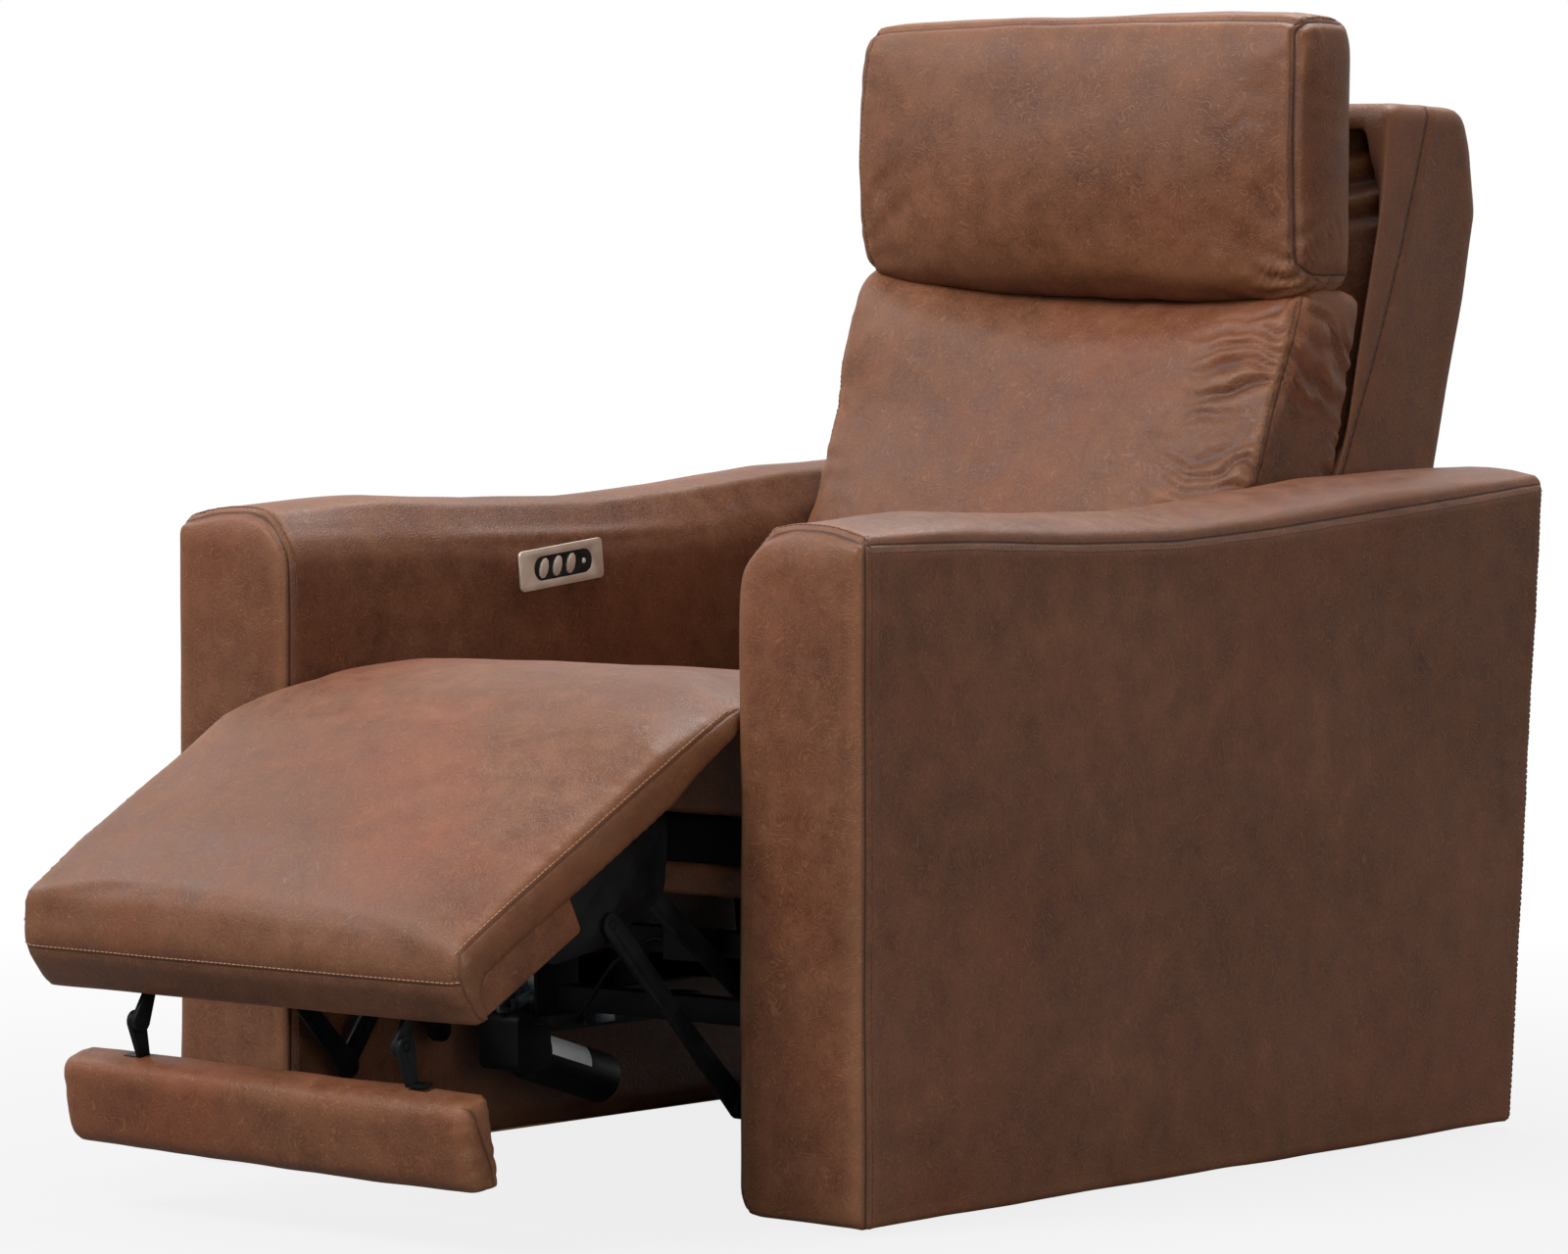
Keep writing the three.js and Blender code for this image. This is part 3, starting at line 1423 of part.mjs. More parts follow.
function reclineDrivePieces() {
  const { x, railStart, railBottom, railHeight, railWidth, motorShare } = reclineDrive;
  const top = railBottom + railHeight;
  const headStart = railStart - reclineHead.length;
  const shape = roundedRectangle(
    headStart,
    railStart + reclineHead.lap,
    top - reclineHead.height,
    top,
    reclineHead.round,
  );
  const gearHead = sidewise(shape, x - reclineHead.width / 2, x + reclineHead.width / 2, 4);
  const length = motor.length * motorShare;
  const can = new THREE.CylinderGeometry(motor.radius, motor.radius, length, 20);
  can.translate(0, -length / 2, 0);
  placed(can, x, headStart + motor.sunk, top - reclineHead.height / 2);
  const strapX = x - railWidth / 2;
  const rearStrap = block(
    strapX,
    strapX + strap.width,
    frameBox.rear - strap.rearFront,
    frameBox.rear - strap.rearInset,
    top - strap.rearDepth,
    frameBox.bottom - touchGap,
  );
  node("recline_actuator", join(driveRail(reclineDrive), gearHead, can, rearStrap), blackPlastic);

  const pinAt = { y: recline.y, z: recline.z - recline.arm };
  const low = top + runGap;
  const x0 = x + runGap;
  const slotHalf = recline.armPin + overrun;
  const half = slotHalf + yoke.border;
  const saddleY = pinAt.y - half - yoke.length / 2;
  const high = pinAt.z + recline.pinRise + slotHalf + yoke.border;
  const plateOutline = [
    [saddleY - yoke.length / 2, low, yoke.heelRound],
    [pinAt.y + half, low, yoke.toeRound],
    [pinAt.y + half, high, reclineYoke.round],
    [pinAt.y - half, high, reclineYoke.round],
    [saddleY - yoke.length / 2, low + reclineYoke.heelHeight, reclineYoke.round],
  ];
  const plate = sidewise(shapeOf(roundedOutline(plateOutline, 3)), x0, x0 + yoke.thickness);
  const slotShape = roundedRectangle(
    pinAt.y - slotHalf,
    pinAt.y + slotHalf,
    pinAt.z - slotHalf,
    pinAt.z + recline.pinRise + slotHalf,
    recline.armPin,
  );
  const slot = sidewise(slotShape, x0 - overrun, x0 + yoke.thickness + overrun, 4);
  node("recline_drive_block", cut(join(plate, saddleOver(reclineDrive, saddleY)), slot), zinc);
}

// Back

function shellFrontY(z) {
  return shell.frontAt + (z - recline.z) * Math.tan(shellLean);
}

function shellRearY(share) {
  const z = lerp(shell.bottom, shell.top, share);
  const thick =
    share < shell.highShare
      ? lerp(shell.thickBottom, shell.thickHigh, share / shell.highShare)
      : lerp(shell.thickHigh, shell.thickTop, ((share - shell.highShare) / (1 - shell.highShare)) ** 1.6);
  return shellFrontY(z) + thick;
}

function shellOutline() {
  const rearShares = [0.94, 0.86, 0.74, 0.5, 0.25];
  const corners = [
    [shellFrontY(shell.bottom), shell.bottom, shell.footRound],
    [shellFrontY(shell.bottom) + shell.thickBottom, shell.bottom, shell.footRound],
    ...rearShares.toReversed().map((share) => [shellRearY(share), lerp(shell.bottom, shell.top, share)]),
    [shellRearY(1), shell.top - shell.rearDrop, shell.rearRound],
    [shellFrontY(shell.top), shell.top, shell.frontRound],
  ];
  return roundedOutline(corners, 4);
}

// A band of the shell between two heights, from one depth behind its front plane to another
function shellBand(low, high, near, far) {
  return shapeOf([
    [shellFrontY(low) + near, low],
    [shellFrontY(low) + far, low],
    [shellFrontY(high) + far, high],
    [shellFrontY(high) + near, high],
  ]);
}

function shellBody() {
  const outer = cushion(shellOutline(), shell);
  const recessHalf = shell.halfWidth - shell.wing;
  const recessTop = shell.top - shell.topRail;
  const recess = sidewise(
    shellBand(shell.recessBottom, recessTop, -overrun * 10, shell.recessDepth),
    -recessHalf,
    recessHalf,
  );
  const hollowNear = shell.recessDepth + shell.wall;
  const hollowHalf = backFrame.halfWidth + touchGap;
  const hollowFar = hollowNear + backFrame.depth;
  const hollow = sidewise(
    shellBand(shell.bottom - overrun, backFrame.top + touchGap, hollowNear, hollowFar),
    -hollowHalf,
    hollowHalf,
  );
  const slotHalf = lane.frontLink + lane.bar + overrun;
  const slotTop = shell.bottom + backBracket.height + overrun;
  const bracketSlot = block(
    backFrame.halfWidth - overrun,
    slotHalf,
    shellFrontY(shell.bottom) - overrun * 10,
    shellFrontY(slotTop) + hollowNear + backFrame.depth + overrun,
    shell.bottom - overrun,
    slotTop,
  );
  const pleatNear = shell.recessDepth - overrun;
  const pleatFar = shell.recessDepth + pleats.depth;
  const folds = [];
  for (let i = 1; i < pleats.count; i++) {
    const x = lerp(-recessHalf, recessHalf, i / pleats.count);
    const groove = shellBand(shell.recessBottom, recessTop, pleatNear, pleatFar);
    folds.push(sidewise(groove, x - pleats.width / 2, x + pleats.width / 2));
  }
  return cut(outer, recess, hollow, bracketSlot, mirrored(bracketSlot), ...folds);
}

// The frame inside the shell: two posts and three rails in one flat steel weldment
function backFrameBody() {
  const near = shell.recessDepth + shell.wall + touchGap;
  const far = near + backFrame.depth - 2 * touchGap;
  const slab = (low, high, x0, x1) => sidewise(shellBand(low, high, near, far), x0, x1);
  const half = backFrame.halfWidth;
  const railHeight = backFrame.post * 1.4;
  const middle = lerp(backFrame.bottom, backFrame.top, 0.62);
  return join(
    slab(backFrame.bottom, backFrame.top, half - backFrame.post, half),
    slab(backFrame.bottom, backFrame.top, -half, -half + backFrame.post),
    slab(backFrame.bottom, backFrame.bottom + railHeight, -half, half),
    slab(middle, middle + railHeight, -half, half),
    slab(backFrame.top - railHeight, backFrame.top, -half, half),
  );
}

// One side of the back's hinge frame: a plate from the recline pivot into the shell, with a foot that
// bears on the post of the back's own frame
function backBracketSide() {
  const near = shellFrontY(backFrame.bottom) + shell.recessDepth + shell.wall;
  const rear = near + backFrame.depth;
  const high = shell.bottom + backBracket.height;
  const low = shell.bottom + backBracket.radius / 2;
  const noseY = recline.y - backBracket.radius;
  const corners = [
    [recline.y, recline.z + backBracket.radius, backBracket.round],
    [rear, high, backBracket.round],
    [rear, low, backBracket.round],
    [near - backBracket.neck, low, backBracket.round],
    [recline.y, recline.z - backBracket.radius, backBracket.round],
    [noseY, recline.z - backBracket.radius * 0.6, backBracket.noseRound],
    [noseY, recline.z + backBracket.radius * 0.6, backBracket.noseRound],
  ];
  const plate = sidewise(shapeOf(roundedOutline(corners, 3)), lane.frontLink, lane.frontLink + lane.bar);
  const hole = pinAlongX(
    linkBar.pin * 2 + runGap,
    lane.frontLink - overrun,
    lane.frontLink + lane.bar + overrun,
    recline.y,
    recline.z,
  );
  const foot = block(
    backFrame.halfWidth + touchGap,
    lane.frontLink + lane.bar / 2,
    near + yoke.cheek * 2,
    rear - yoke.cheek,
    low + yoke.cheek,
    high - backBracket.radius / 2,
  );
  return cut(join(plate, foot), hole);
}

// The hinge frame: the two sides tied by a cross bar, with the arm that the recline drive pushes
function backHingeFrame() {
  const y = recline.y + backCross.behind;
  const reach = lane.frontLink + lane.bar / 2;
  const bar = pinAlongX(backCross.radius, -reach, reach, y, recline.z, 16);
  const x1 = reclineDrive.x;
  const x0 = x1 - backCross.dropThickness;
  const pinAt = { y: recline.y, z: recline.z - recline.arm };
  const end = recline.armPin * 2;
  const drop = sidewise(linkShape({ y, z: recline.z }, pinAt, end, end - overrun, 0), x0, x1, 4);
  const pinEnd = x1 + yoke.thickness + 3 * runGap;
  const pin = pinAlongX(recline.armPin, x1 - weldDepth, pinEnd, pinAt.y, pinAt.z);
  return join(backBracketSide(), mirrored(backBracketSide()), bar, drop, pin);
}

function backCushionBody() {
  const c = backCushion;
  const middleY = (c.frontLowY + c.frontTopY) / 2;
  const middleZ = (c.frontLowZ + c.frontTopZ) / 2;
  const lean = Math.atan2(c.frontTopY - c.frontLowY, c.frontTopZ - c.frontLowZ);
  const rear = (z) => shellFrontY(z) - touchGap;
  const onRear = (z, radius) => [rear(z), z, radius];
  const corners = [
    [c.frontLowY + c.toeBack, c.bottom + c.toeRise, c.toeRound],
    [c.frontLowY, c.frontLowZ, c.lowRound],
    [middleY - c.bulge * Math.cos(lean), middleZ + c.bulge * Math.sin(lean), c.bulgeRound],
    [c.frontTopY, c.frontTopZ, c.browRound],
    [rear(c.top) - c.topFlat, c.top, c.topRound],
    onRear(c.top - c.topDrop, 0),
    onRear(c.bottom, 0),
    [c.frontLowY + c.heelBack, c.bottom - c.heelDrop, c.heelRound],
  ];
  return cushion(roundedOutline(corners, 4), backCushion, facing(Math.PI / 2 - lean));
}

function backPieces() {
  node("back_shell", shellBody(), leather);
  node("back_frame", backFrameBody(), blackSteel);
  node("back_hinge_frame", backHingeFrame(), blackSteel);
  node("back_cushion", backCushionBody(), leather);
}

// Head cushion

function headCushionBody() {
  const corners = [
    [head.front + head.toeBack, head.bottom, head.round * 0.8],
    [head.front, (head.bottom + head.top) / 2],
    [head.front + head.browBack, head.top, head.round],
    [head.back, head.top - head.rearDrop, head.round * 0.8],
    [head.back, head.bottom + head.rearDrop, head.round * 0.75],
  ];
  return cushion(roundedOutline(corners, 5), head, facing(Math.PI / 2));
}

// A steel plate on the back of the head cushion, with two arms down to its hinge bar and a crank behind
function headPlateBody() {
  const y0 = head.back + touchGap;
  const y1 = y0 + headPlate.thickness;
  const plate = block(-headPlate.halfWidth, headPlate.halfWidth, y0, y1, headPlate.bottom, headPlate.top);
  const armShape = shapeOf([
    [y0, headPlate.bottom + headPlate.armTop],
    [y1 + headPlate.armDepth, headPlate.bottom + headPlate.armTop],
    [headPivot.y + headPivot.bar, headPivot.z],
    [headPivot.y, headPivot.z - headPivot.bar],
    [y0, headPivot.z],
  ]);
  const half = headPlate.armThickness / 2;
  const armAt = (x) => sidewise(armShape, x - half, x + half);
  const reach = headPivot.barReach;
  const bar = pinAlongX(headPivot.bar, -reach, reach, headPivot.y, headPivot.z);
  const crankEnd = headDrive.pin * 2;
  const crank = sidewise(
    linkShape(headPivot, headCrankPin, crankEnd, crankEnd - overrun, 0),
    -headDrive.crankThickness,
    0,
    3,
  );
  const pinEnd = headYoke.thickness + 3 * runGap;
  const pinStart = -headDrive.crankThickness / 2;
  const pin = pinAlongX(headDrive.pin, pinStart, pinEnd, headCrankPin.y, headCrankPin.z);
  return join(plate, armAt(headPlate.armX), armAt(-headPlate.armX), bar, crank, pin);
}

const headCrankPin = { y: headPivot.y + headDrive.crank, z: headPivot.z };

// The fixed half of the head hinge: a rail on the floor of the recess with a bearing lug near each end
function headHingeBody() {
  const floor = shell.recessDepth - touchGap;
  const railNear = floor - headHinge.railThickness;
  const railShape = shellBand(headHinge.bottom, headHinge.top, railNear, floor);
  const gapHalf = headDrive.width / 2;
  const gapShape = shellBand(
    headHinge.bottom - overrun,
    headHinge.top - headHinge.bridge,
    railNear - overrun,
    floor + overrun,
  );
  const rail = cut(
    sidewise(railShape, -headHinge.railHalf, headHinge.railHalf),
    sidewise(gapShape, -gapHalf, gapHalf),
  );
  const onRail = (z) => shellFrontY(z) + floor - headHinge.railThickness / 2;
  const lugLow = headHinge.bottom + headHinge.railThickness;
  const lugHigh = headHinge.top - headHinge.railThickness;
  const lug = polygon([
    [onRail(lugLow), lugLow],
    ...arcPoints(headPivot, headPivot.lug, -Math.PI / 2, -1.5 * Math.PI, 10),
    [onRail(lugHigh), lugHigh],
  ]);
  const hole = new THREE.Path();
  hole.absarc(headPivot.y, headPivot.z, headPivot.bar + runGap, 0, 2 * Math.PI, true);
  lug.holes.push(hole);
  const bearing = sidewise(lug, headHinge.x, headHinge.x + headHinge.lugThickness, 6);
  return join(rail, bearing, mirrored(bearing));
}

// The head drive stands in the recess below the hinge: a case, and a rod whose slotted head moves the
// crank of the head cushion's plate
function headDrivePieces() {
  const place = (geometry) =>
    geometry.rotateX(-shellLean).translate(0, headCrankPin.y, headCrankPin.z);
  const bodyTop = -headDrive.drop;
  const bodyShape = roundedRectangle(
    -headDrive.width / 2,
    headDrive.width / 2,
    -headDrive.depth / 2,
    headDrive.depth / 2,
    headDrive.round,
  );
  const shift = headYoke.thickness / 2 + runGap;
  const body = upwards(bodyShape, bodyTop - headDrive.height, bodyTop, 3).translate(shift, 0, 0);
  const boreRadius = headDrive.rod + runGap;
  const bore = new THREE.CylinderGeometry(boreRadius, boreRadius, headDrive.height, 16);
  bore.rotateX(Math.PI / 2).translate(shift, 0, bodyTop - headDrive.boreTop);
  node("headrest_actuator", place(cut(body, bore)), blackPlastic);

  const half = headYoke.length / 2;
  const high = headYoke.height / 2;
  const plateShape = roundedRectangle(-half, half, -high, high, headYoke.round);
  const plate = sidewise(plateShape, runGap, runGap + headYoke.thickness, 3);
  const slotHalf = headYoke.slotLength / 2;
  const slotHigh = headYoke.slotHeight / 2;
  const slotShape = roundedRectangle(-slotHalf, slotHalf, -slotHigh, slotHigh, slotHigh * 0.9);
  const slot = sidewise(slotShape, -overrun, overrun + runGap + headYoke.thickness, 4);
  const rodLength = headDrive.drop + headDrive.height / 2 - high - headDrive.rodClear;
  const rod = new THREE.CylinderGeometry(headDrive.rod, headDrive.rod, rodLength, 16);
  rod.rotateX(Math.PI / 2).translate(shift, 0, headDrive.rodLap - high - rodLength / 2);
  node("headrest_drive_rod", place(cut(join(plate, rod), slot)), zinc);
}

function headPieces() {
  node("head_cushion", headCushionBody(), leather);
  node("head_plate", headPlateBody(), blackSteel);
  node("head_hinge", headHingeBody(), blackSteel);
  headDrivePieces();
}

node("near_arm_cover", armCover(1), leather);
node("far_arm_cover", armCover(-1), leather);
node("near_arm_frame", armFrameBody(1), hiddenWood);
node("far_arm_frame", armFrameBody(-1), hiddenWood);
glides();
controls();
baseFrame();
seatCarriage();
legrestPieces();
footPieces();
linkage();
legrestDrive();
reclineDrivePieces();
backPieces();
headPieces();

export default root;
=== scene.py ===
# %% [markdown]
# # A power recliner seat in brown leather
# The jointed model comes first, as a frame of plain solids. Every visible piece is then built
# over it: padded leather over the foam pieces, and finished metal over the mechanism.
# The leather stays near the faces of the solids, so each piece still moves as they do.

# %% Load the jointed frame
import json
import math

import bmesh
import bpy
import numpy as np
from mathutils import Matrix, Vector, noise
from mathutils.bvhtree import BVHTree
from mathutils.kdtree import KDTree

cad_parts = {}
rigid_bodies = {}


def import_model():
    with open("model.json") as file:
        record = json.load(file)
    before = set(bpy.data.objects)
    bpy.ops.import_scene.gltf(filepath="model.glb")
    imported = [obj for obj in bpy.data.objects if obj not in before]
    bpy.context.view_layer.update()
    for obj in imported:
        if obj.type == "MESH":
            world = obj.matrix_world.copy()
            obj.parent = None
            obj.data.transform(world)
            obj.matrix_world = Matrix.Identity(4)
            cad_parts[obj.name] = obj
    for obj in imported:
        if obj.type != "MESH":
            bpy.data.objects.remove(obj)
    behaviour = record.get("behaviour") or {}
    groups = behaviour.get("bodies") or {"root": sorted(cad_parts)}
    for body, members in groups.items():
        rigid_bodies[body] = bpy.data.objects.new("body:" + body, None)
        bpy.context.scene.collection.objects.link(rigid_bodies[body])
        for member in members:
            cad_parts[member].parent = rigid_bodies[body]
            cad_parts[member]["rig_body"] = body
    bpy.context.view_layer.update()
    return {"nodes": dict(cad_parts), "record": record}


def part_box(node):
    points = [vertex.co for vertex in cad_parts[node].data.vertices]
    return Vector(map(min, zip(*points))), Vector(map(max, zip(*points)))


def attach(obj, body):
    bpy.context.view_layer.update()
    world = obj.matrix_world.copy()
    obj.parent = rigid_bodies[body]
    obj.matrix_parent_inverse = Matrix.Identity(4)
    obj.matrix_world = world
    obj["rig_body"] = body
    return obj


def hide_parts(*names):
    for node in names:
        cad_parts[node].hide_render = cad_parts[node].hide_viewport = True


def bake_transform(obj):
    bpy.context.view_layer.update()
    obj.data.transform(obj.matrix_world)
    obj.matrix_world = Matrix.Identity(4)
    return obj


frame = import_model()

scene = bpy.context.scene
MM = 0.001
ARM_FRONT = -404.0  # where the front of the arms stands along the depth, in the row frame
slot_of = {part["node"]: part["material_slot"] for part in frame["record"]["subparts"]}

# %% [markdown]
# ## Working in millimetres
# Furniture makers measure from the front of the arms and from the floor, so the sizes below do
# too. One function turns them into Blender's metres. The leg rest slopes, so it gets rulers of
# its own: one along the pad from the knee, and one straight up out of its leather.

# %% Rulers
SLOPE = math.radians(28.0)
PAD_ROOT = (30.0, 432.0)


def at(x, y, z):
    """A point given across the seat, back from the arm fronts and up from the floor."""
    return Vector((x * MM, (y + ARM_FRONT) * MM, z * MM))


def on_pad(x, along, above):
    """A point given by the leg rest's own rulers."""
    y = PAD_ROOT[0] - along * math.cos(SLOPE) - above * math.sin(SLOPE)
    z = PAD_ROOT[1] - along * math.sin(SLOPE) + above * math.cos(SLOPE)
    return at(x, y, z)


# %% [markdown]
# ## Mesh helpers
# A closed solid from the frame is made of loose triangles. To become soft leather it is first
# turned into one even skin of small squares, which can bend and swell anywhere. Blender's voxel
# remesh does this, and it also welds solids that touch, as leather over a joint would.

# %% Skins
def new_piece(name, mesh):
    piece = bpy.data.objects.new(name, mesh)
    scene.collection.objects.link(piece)
    return piece


def keep_result(piece):
    """Makes the modified shape the piece's own mesh."""
    bpy.context.view_layer.update()
    shown = piece.evaluated_get(bpy.context.evaluated_depsgraph_get())
    mesh = bpy.data.meshes.new_from_object(shown)
    piece.modifiers.clear()
    piece.data = mesh


def box_mesh(bm, low, high):
    """A closed box between two corners."""
    made = bmesh.ops.create_cube(bm, size=1.0)
    size = high - low
    middle = (high + low) / 2
    for v in made["verts"]:
        v.co = Vector((v.co.x * size.x, v.co.y * size.y, v.co.z * size.z)) + middle


def bare_mesh(bm, name):
    """The edited mesh as a new one, without the frame's own normals and materials."""
    mesh = bpy.data.meshes.new(name)
    bm.to_mesh(mesh)
    bm.free()
    for left in ("custom_normal", "UVMap"):
        if left in mesh.attributes:
            mesh.attributes.remove(mesh.attributes[left])
    mesh.materials.clear()
    return mesh


def skin_of(name, nodes, voxel, fillers=()):
    """One skin round some solids of the frame, and round the boxes that fill their hollows."""
    bm = bmesh.new()
    for node in nodes:
        bm.from_mesh(frame["nodes"][node].data)
    bmesh.ops.remove_doubles(bm, verts=bm.verts, dist=1e-6)
    for low, high in fillers:
        box_mesh(bm, low, high)
    piece = new_piece(name, bare_mesh(bm, name))
    remesh = piece.modifiers.new("Skin", "REMESH")
    remesh.mode = "VOXEL"
    remesh.voxel_size = voxel * MM
    keep_result(piece)
    keep_largest(piece)
    print(name, "skin has", len(piece.data.polygons), "faces")
    return piece


def keep_largest(piece):
    """Drops the pockets that a remesh can leave inside a skin."""
    bm = bmesh.new()
    bm.from_mesh(piece.data)
    left = set(bm.verts)
    islands = []
    while left:
        island, border = [], [left.pop()]
        while border:
            v = border.pop()
            island.append(v)
            near = {e.other_vert(v) for e in v.link_edges} & left
            left -= near
            border += near
        islands.append(island)
    islands.sort(key=len)
    for island in islands[:-1]:
        bmesh.ops.delete(bm, geom=island, context="VERTS")
    bm.to_mesh(piece.data)
    bm.free()


def coords(piece):
    flat = np.empty(len(piece.data.vertices) * 3)
    piece.data.vertices.foreach_get("co", flat)
    return flat.reshape(-1, 3)


def set_coords(piece, co):
    piece.data.vertices.foreach_set("co", np.asarray(co, np.float32).ravel())
    piece.data.update()


def normals(piece):
    flat = np.empty(len(piece.data.vertices) * 3, np.float32)
    piece.data.vertex_normals.foreach_get("vector", flat)
    return flat.reshape(-1, 3).astype(float)


def neighbour_mean(piece, values):
    """The mean of each point's neighbours, for places or for any other value."""
    edges = np.empty(len(piece.data.edges) * 2, np.int32)
    piece.data.edges.foreach_get("vertices", edges)
    a, b = edges.reshape(-1, 2).T
    size = len(values)
    count = np.bincount(np.concatenate((a, b)), minlength=size).astype(float)
    columns = values.reshape(size, -1)
    total = np.stack(
        [
            np.bincount(a, c[b], minlength=size) + np.bincount(b, c[a], minlength=size)
            for c in columns.T
        ],
        axis=1,
    )
    return (total / np.maximum(count, 1)[:, None]).reshape(values.shape)


# A step in and a shorter one back out, so that a skin hardly shrinks
RELAX_IN, RELAX_OUT = 0.6, 0.5


def relax(piece, times, share=1.0):
    """Evens a skin out. Share says how much, for the whole skin or for each of its points."""
    co = coords(piece)
    share = np.broadcast_to(np.asarray(share, float), (len(co),))[:, None]
    for _ in range(times):
        co += (neighbour_mean(piece, co) - co) * RELAX_IN * share
        co -= (neighbour_mean(piece, co) - co) * RELAX_OUT * share
    set_coords(piece, co)


def soften(piece, times, share=1.0, keep_size=True):
    """Rounds edges and corners as foam does, and then gives the piece its own size back."""
    co = coords(piece)
    low, high = co.min(0), co.max(0)
    share = np.broadcast_to(np.asarray(share, float), (len(co),))[:, None]
    for _ in range(times):
        co += (neighbour_mean(piece, co) - co) * share
    if keep_size:
        co = low + (co - co.min(0)) * (high - low) / (co.max(0) - co.min(0))
    set_coords(piece, co)


def shift(piece, across=None, back=None, up=None):
    """Moves each point of a skin by so many millimetres along the three axes."""
    co = coords(piece)
    for axis, amount in enumerate((across, back, up)):
        if amount is not None:
            co[:, axis] += amount * MM
    set_coords(piece, co)


def dome(co, half, power=1.0):
    """One in the middle of a piece's width, falling to nothing at its sides."""
    return np.clip(np.cos(math.pi / 2 * np.clip(co[:, 0] / (half * MM), -1, 1)), 0, 1) ** power


def smoothstep(low, high, x):
    t = np.clip((x - low) / (high - low), 0, 1)
    return t * t * (3 - 2 * t)


# %% [markdown]
# ## Seams
# A seam is two hides sewn face to face and turned, so the leather dives into a narrow crease and
# a row of stitches runs beside it. Each seam is laid as a row of points on the skin. The skin is
# pressed in along it, and two values are stored for the leather material, which draws the crease
# as a dark line of painted shade: how far a point lies to one side of the seam, and whether it is
# near one at all.

# %% Lay seams on a skin
SEAM_STEP = 2.5
SEAM_REACH = 14.0
SEAM_SIDE_MOST = 30.0
SHOULDER_AT, SHOULDER_WIDTH = 9.0, 4.0
THREAD_LIFT = 0.3
FULL_BEND = 0.25  # how far a point stands out of its neighbours where the hide is palest


def even_row(row):
    """The same row of points at even short steps, with its corners eased."""
    row = np.array([list(p) for p in row], float)
    lengths = np.concatenate(([0], np.cumsum(np.linalg.norm(np.diff(row, axis=0), axis=1))))
    count = max(int(lengths[-1] / (SEAM_STEP * MM)), 2)
    where = np.linspace(0, lengths[-1], count + 1)
    row = np.stack([np.interp(where, lengths, row[:, k]) for k in range(3)], axis=1)
    for _ in range(3):
        row[1:-1] = (row[:-2] + 2 * row[1:-1] + row[2:]) / 4
    return row


def surface_of(piece):
    mesh = piece.data
    faces = [tuple(p.vertices) for p in mesh.polygons]
    return BVHTree.FromPolygons([tuple(v.co) for v in mesh.vertices], faces)


def lay(row, surface, lift=0.0, aside=0.0):
    """A row laid on a surface, and moved sideways along it or lifted off it, in millimetres."""
    laid, out = [], []
    for p in row:
        place, normal, _, _ = surface.find_nearest(Vector(p))
        laid.append(place)
        out.append(normal)
    rows = np.array(laid)
    for _ in range(2):
        rows[1:-1] = (rows[:-2] + 2 * rows[1:-1] + rows[2:]) / 4
    way = np.gradient(rows, axis=0)
    way /= np.maximum(np.linalg.norm(way, axis=1), 1e-9)[:, None]
    up = np.array(out)
    beside = np.cross(way, up)
    if aside:
        moved = rows + beside * aside * MM
        return lay(moved, surface, lift)
    return rows + up * lift * MM


class SeamField:
    """Where each point of a skin lies by its nearest seam, in millimetres."""

    def __init__(self, piece, rows):
        self.rows = rows
        flat = np.concatenate(rows)
        which = np.concatenate([np.full(len(r), k) for k, r in enumerate(rows)])
        run = np.concatenate([np.arange(len(r)) * SEAM_STEP for r in rows])
        way = np.concatenate([np.gradient(r, axis=0) for r in rows])
        way /= np.maximum(np.linalg.norm(way, axis=1), 1e-9)[:, None]
        tree = KDTree(len(flat))
        for k, p in enumerate(flat):
            tree.insert(p, k)
        tree.balance()
        co, up = coords(piece), normals(piece)
        near = np.array([tree.find(p)[1] for p in co])
        gap = co - flat[near]
        self.along = run[near] + (gap * way[near]).sum(1) / MM
        beside = np.cross(way[near], up)
        beside /= np.maximum(np.linalg.norm(beside, axis=1), 1e-9)[:, None]
        self.side = (gap * beside).sum(1) / MM
        self.far = np.linalg.norm(gap, axis=1) / MM
        self.which = which[near]


def press_seams(piece, field, depth=2.6, width=5.0, shoulder=0.8):
    """Presses the crease in, with a low shoulder of folded leather each side of it."""
    d = field.far
    fold = np.exp(-(((d - SHOULDER_AT) / SHOULDER_WIDTH) ** 2))
    push = depth * np.exp(-((d / width) ** 2)) - shoulder * fold
    set_coords(piece, coords(piece) - normals(piece) * push[:, None] * MM)


def store(piece, name, values):
    attribute = piece.data.attributes.new(name, "FLOAT", "POINT")
    attribute.data.foreach_set("value", np.asarray(values, np.float32))


def store_seams(piece, field):
    store(piece, "seam_side", np.clip(field.side, -SEAM_SIDE_MOST, SEAM_SIDE_MOST))
    store(piece, "seam_near", 1 - smoothstep(SEAM_REACH * 0.5, SEAM_REACH, field.far))


def store_surface_bend(piece):
    """How far each point stands out of its neighbours. The leather is drawn paler by it on edges,
    as pull-up wax with a painted highlight, and darker in hollows as painted shade.
    """
    co = coords(piece)
    bend = ((co - neighbour_mean(piece, co)) * normals(piece)).sum(1) / MM
    for _ in range(4):
        bend = neighbour_mean(piece, bend)
    store(piece, "surface_bend", np.clip(bend / FULL_BEND, -1, 1))


def sew(piece, field, *press):
    """Presses the seams in, and stores for the leather what it draws by."""
    press_seams(piece, field, *press)
    store_seams(piece, field)
    store_surface_bend(piece)


# %% [markdown]
# ## Swelling and gathers
# A cushion is foam pressing on leather. Blender's Cloth does that with pressure inside the skin,
# while the seams hold still, so the leather crowns between them. Where a maker sews a long edge
# to a short one, the extra leather stands up in short folds square to the seam.

# %% Press from inside
PRESSURE, LAST_FRAME = 4.0, 16


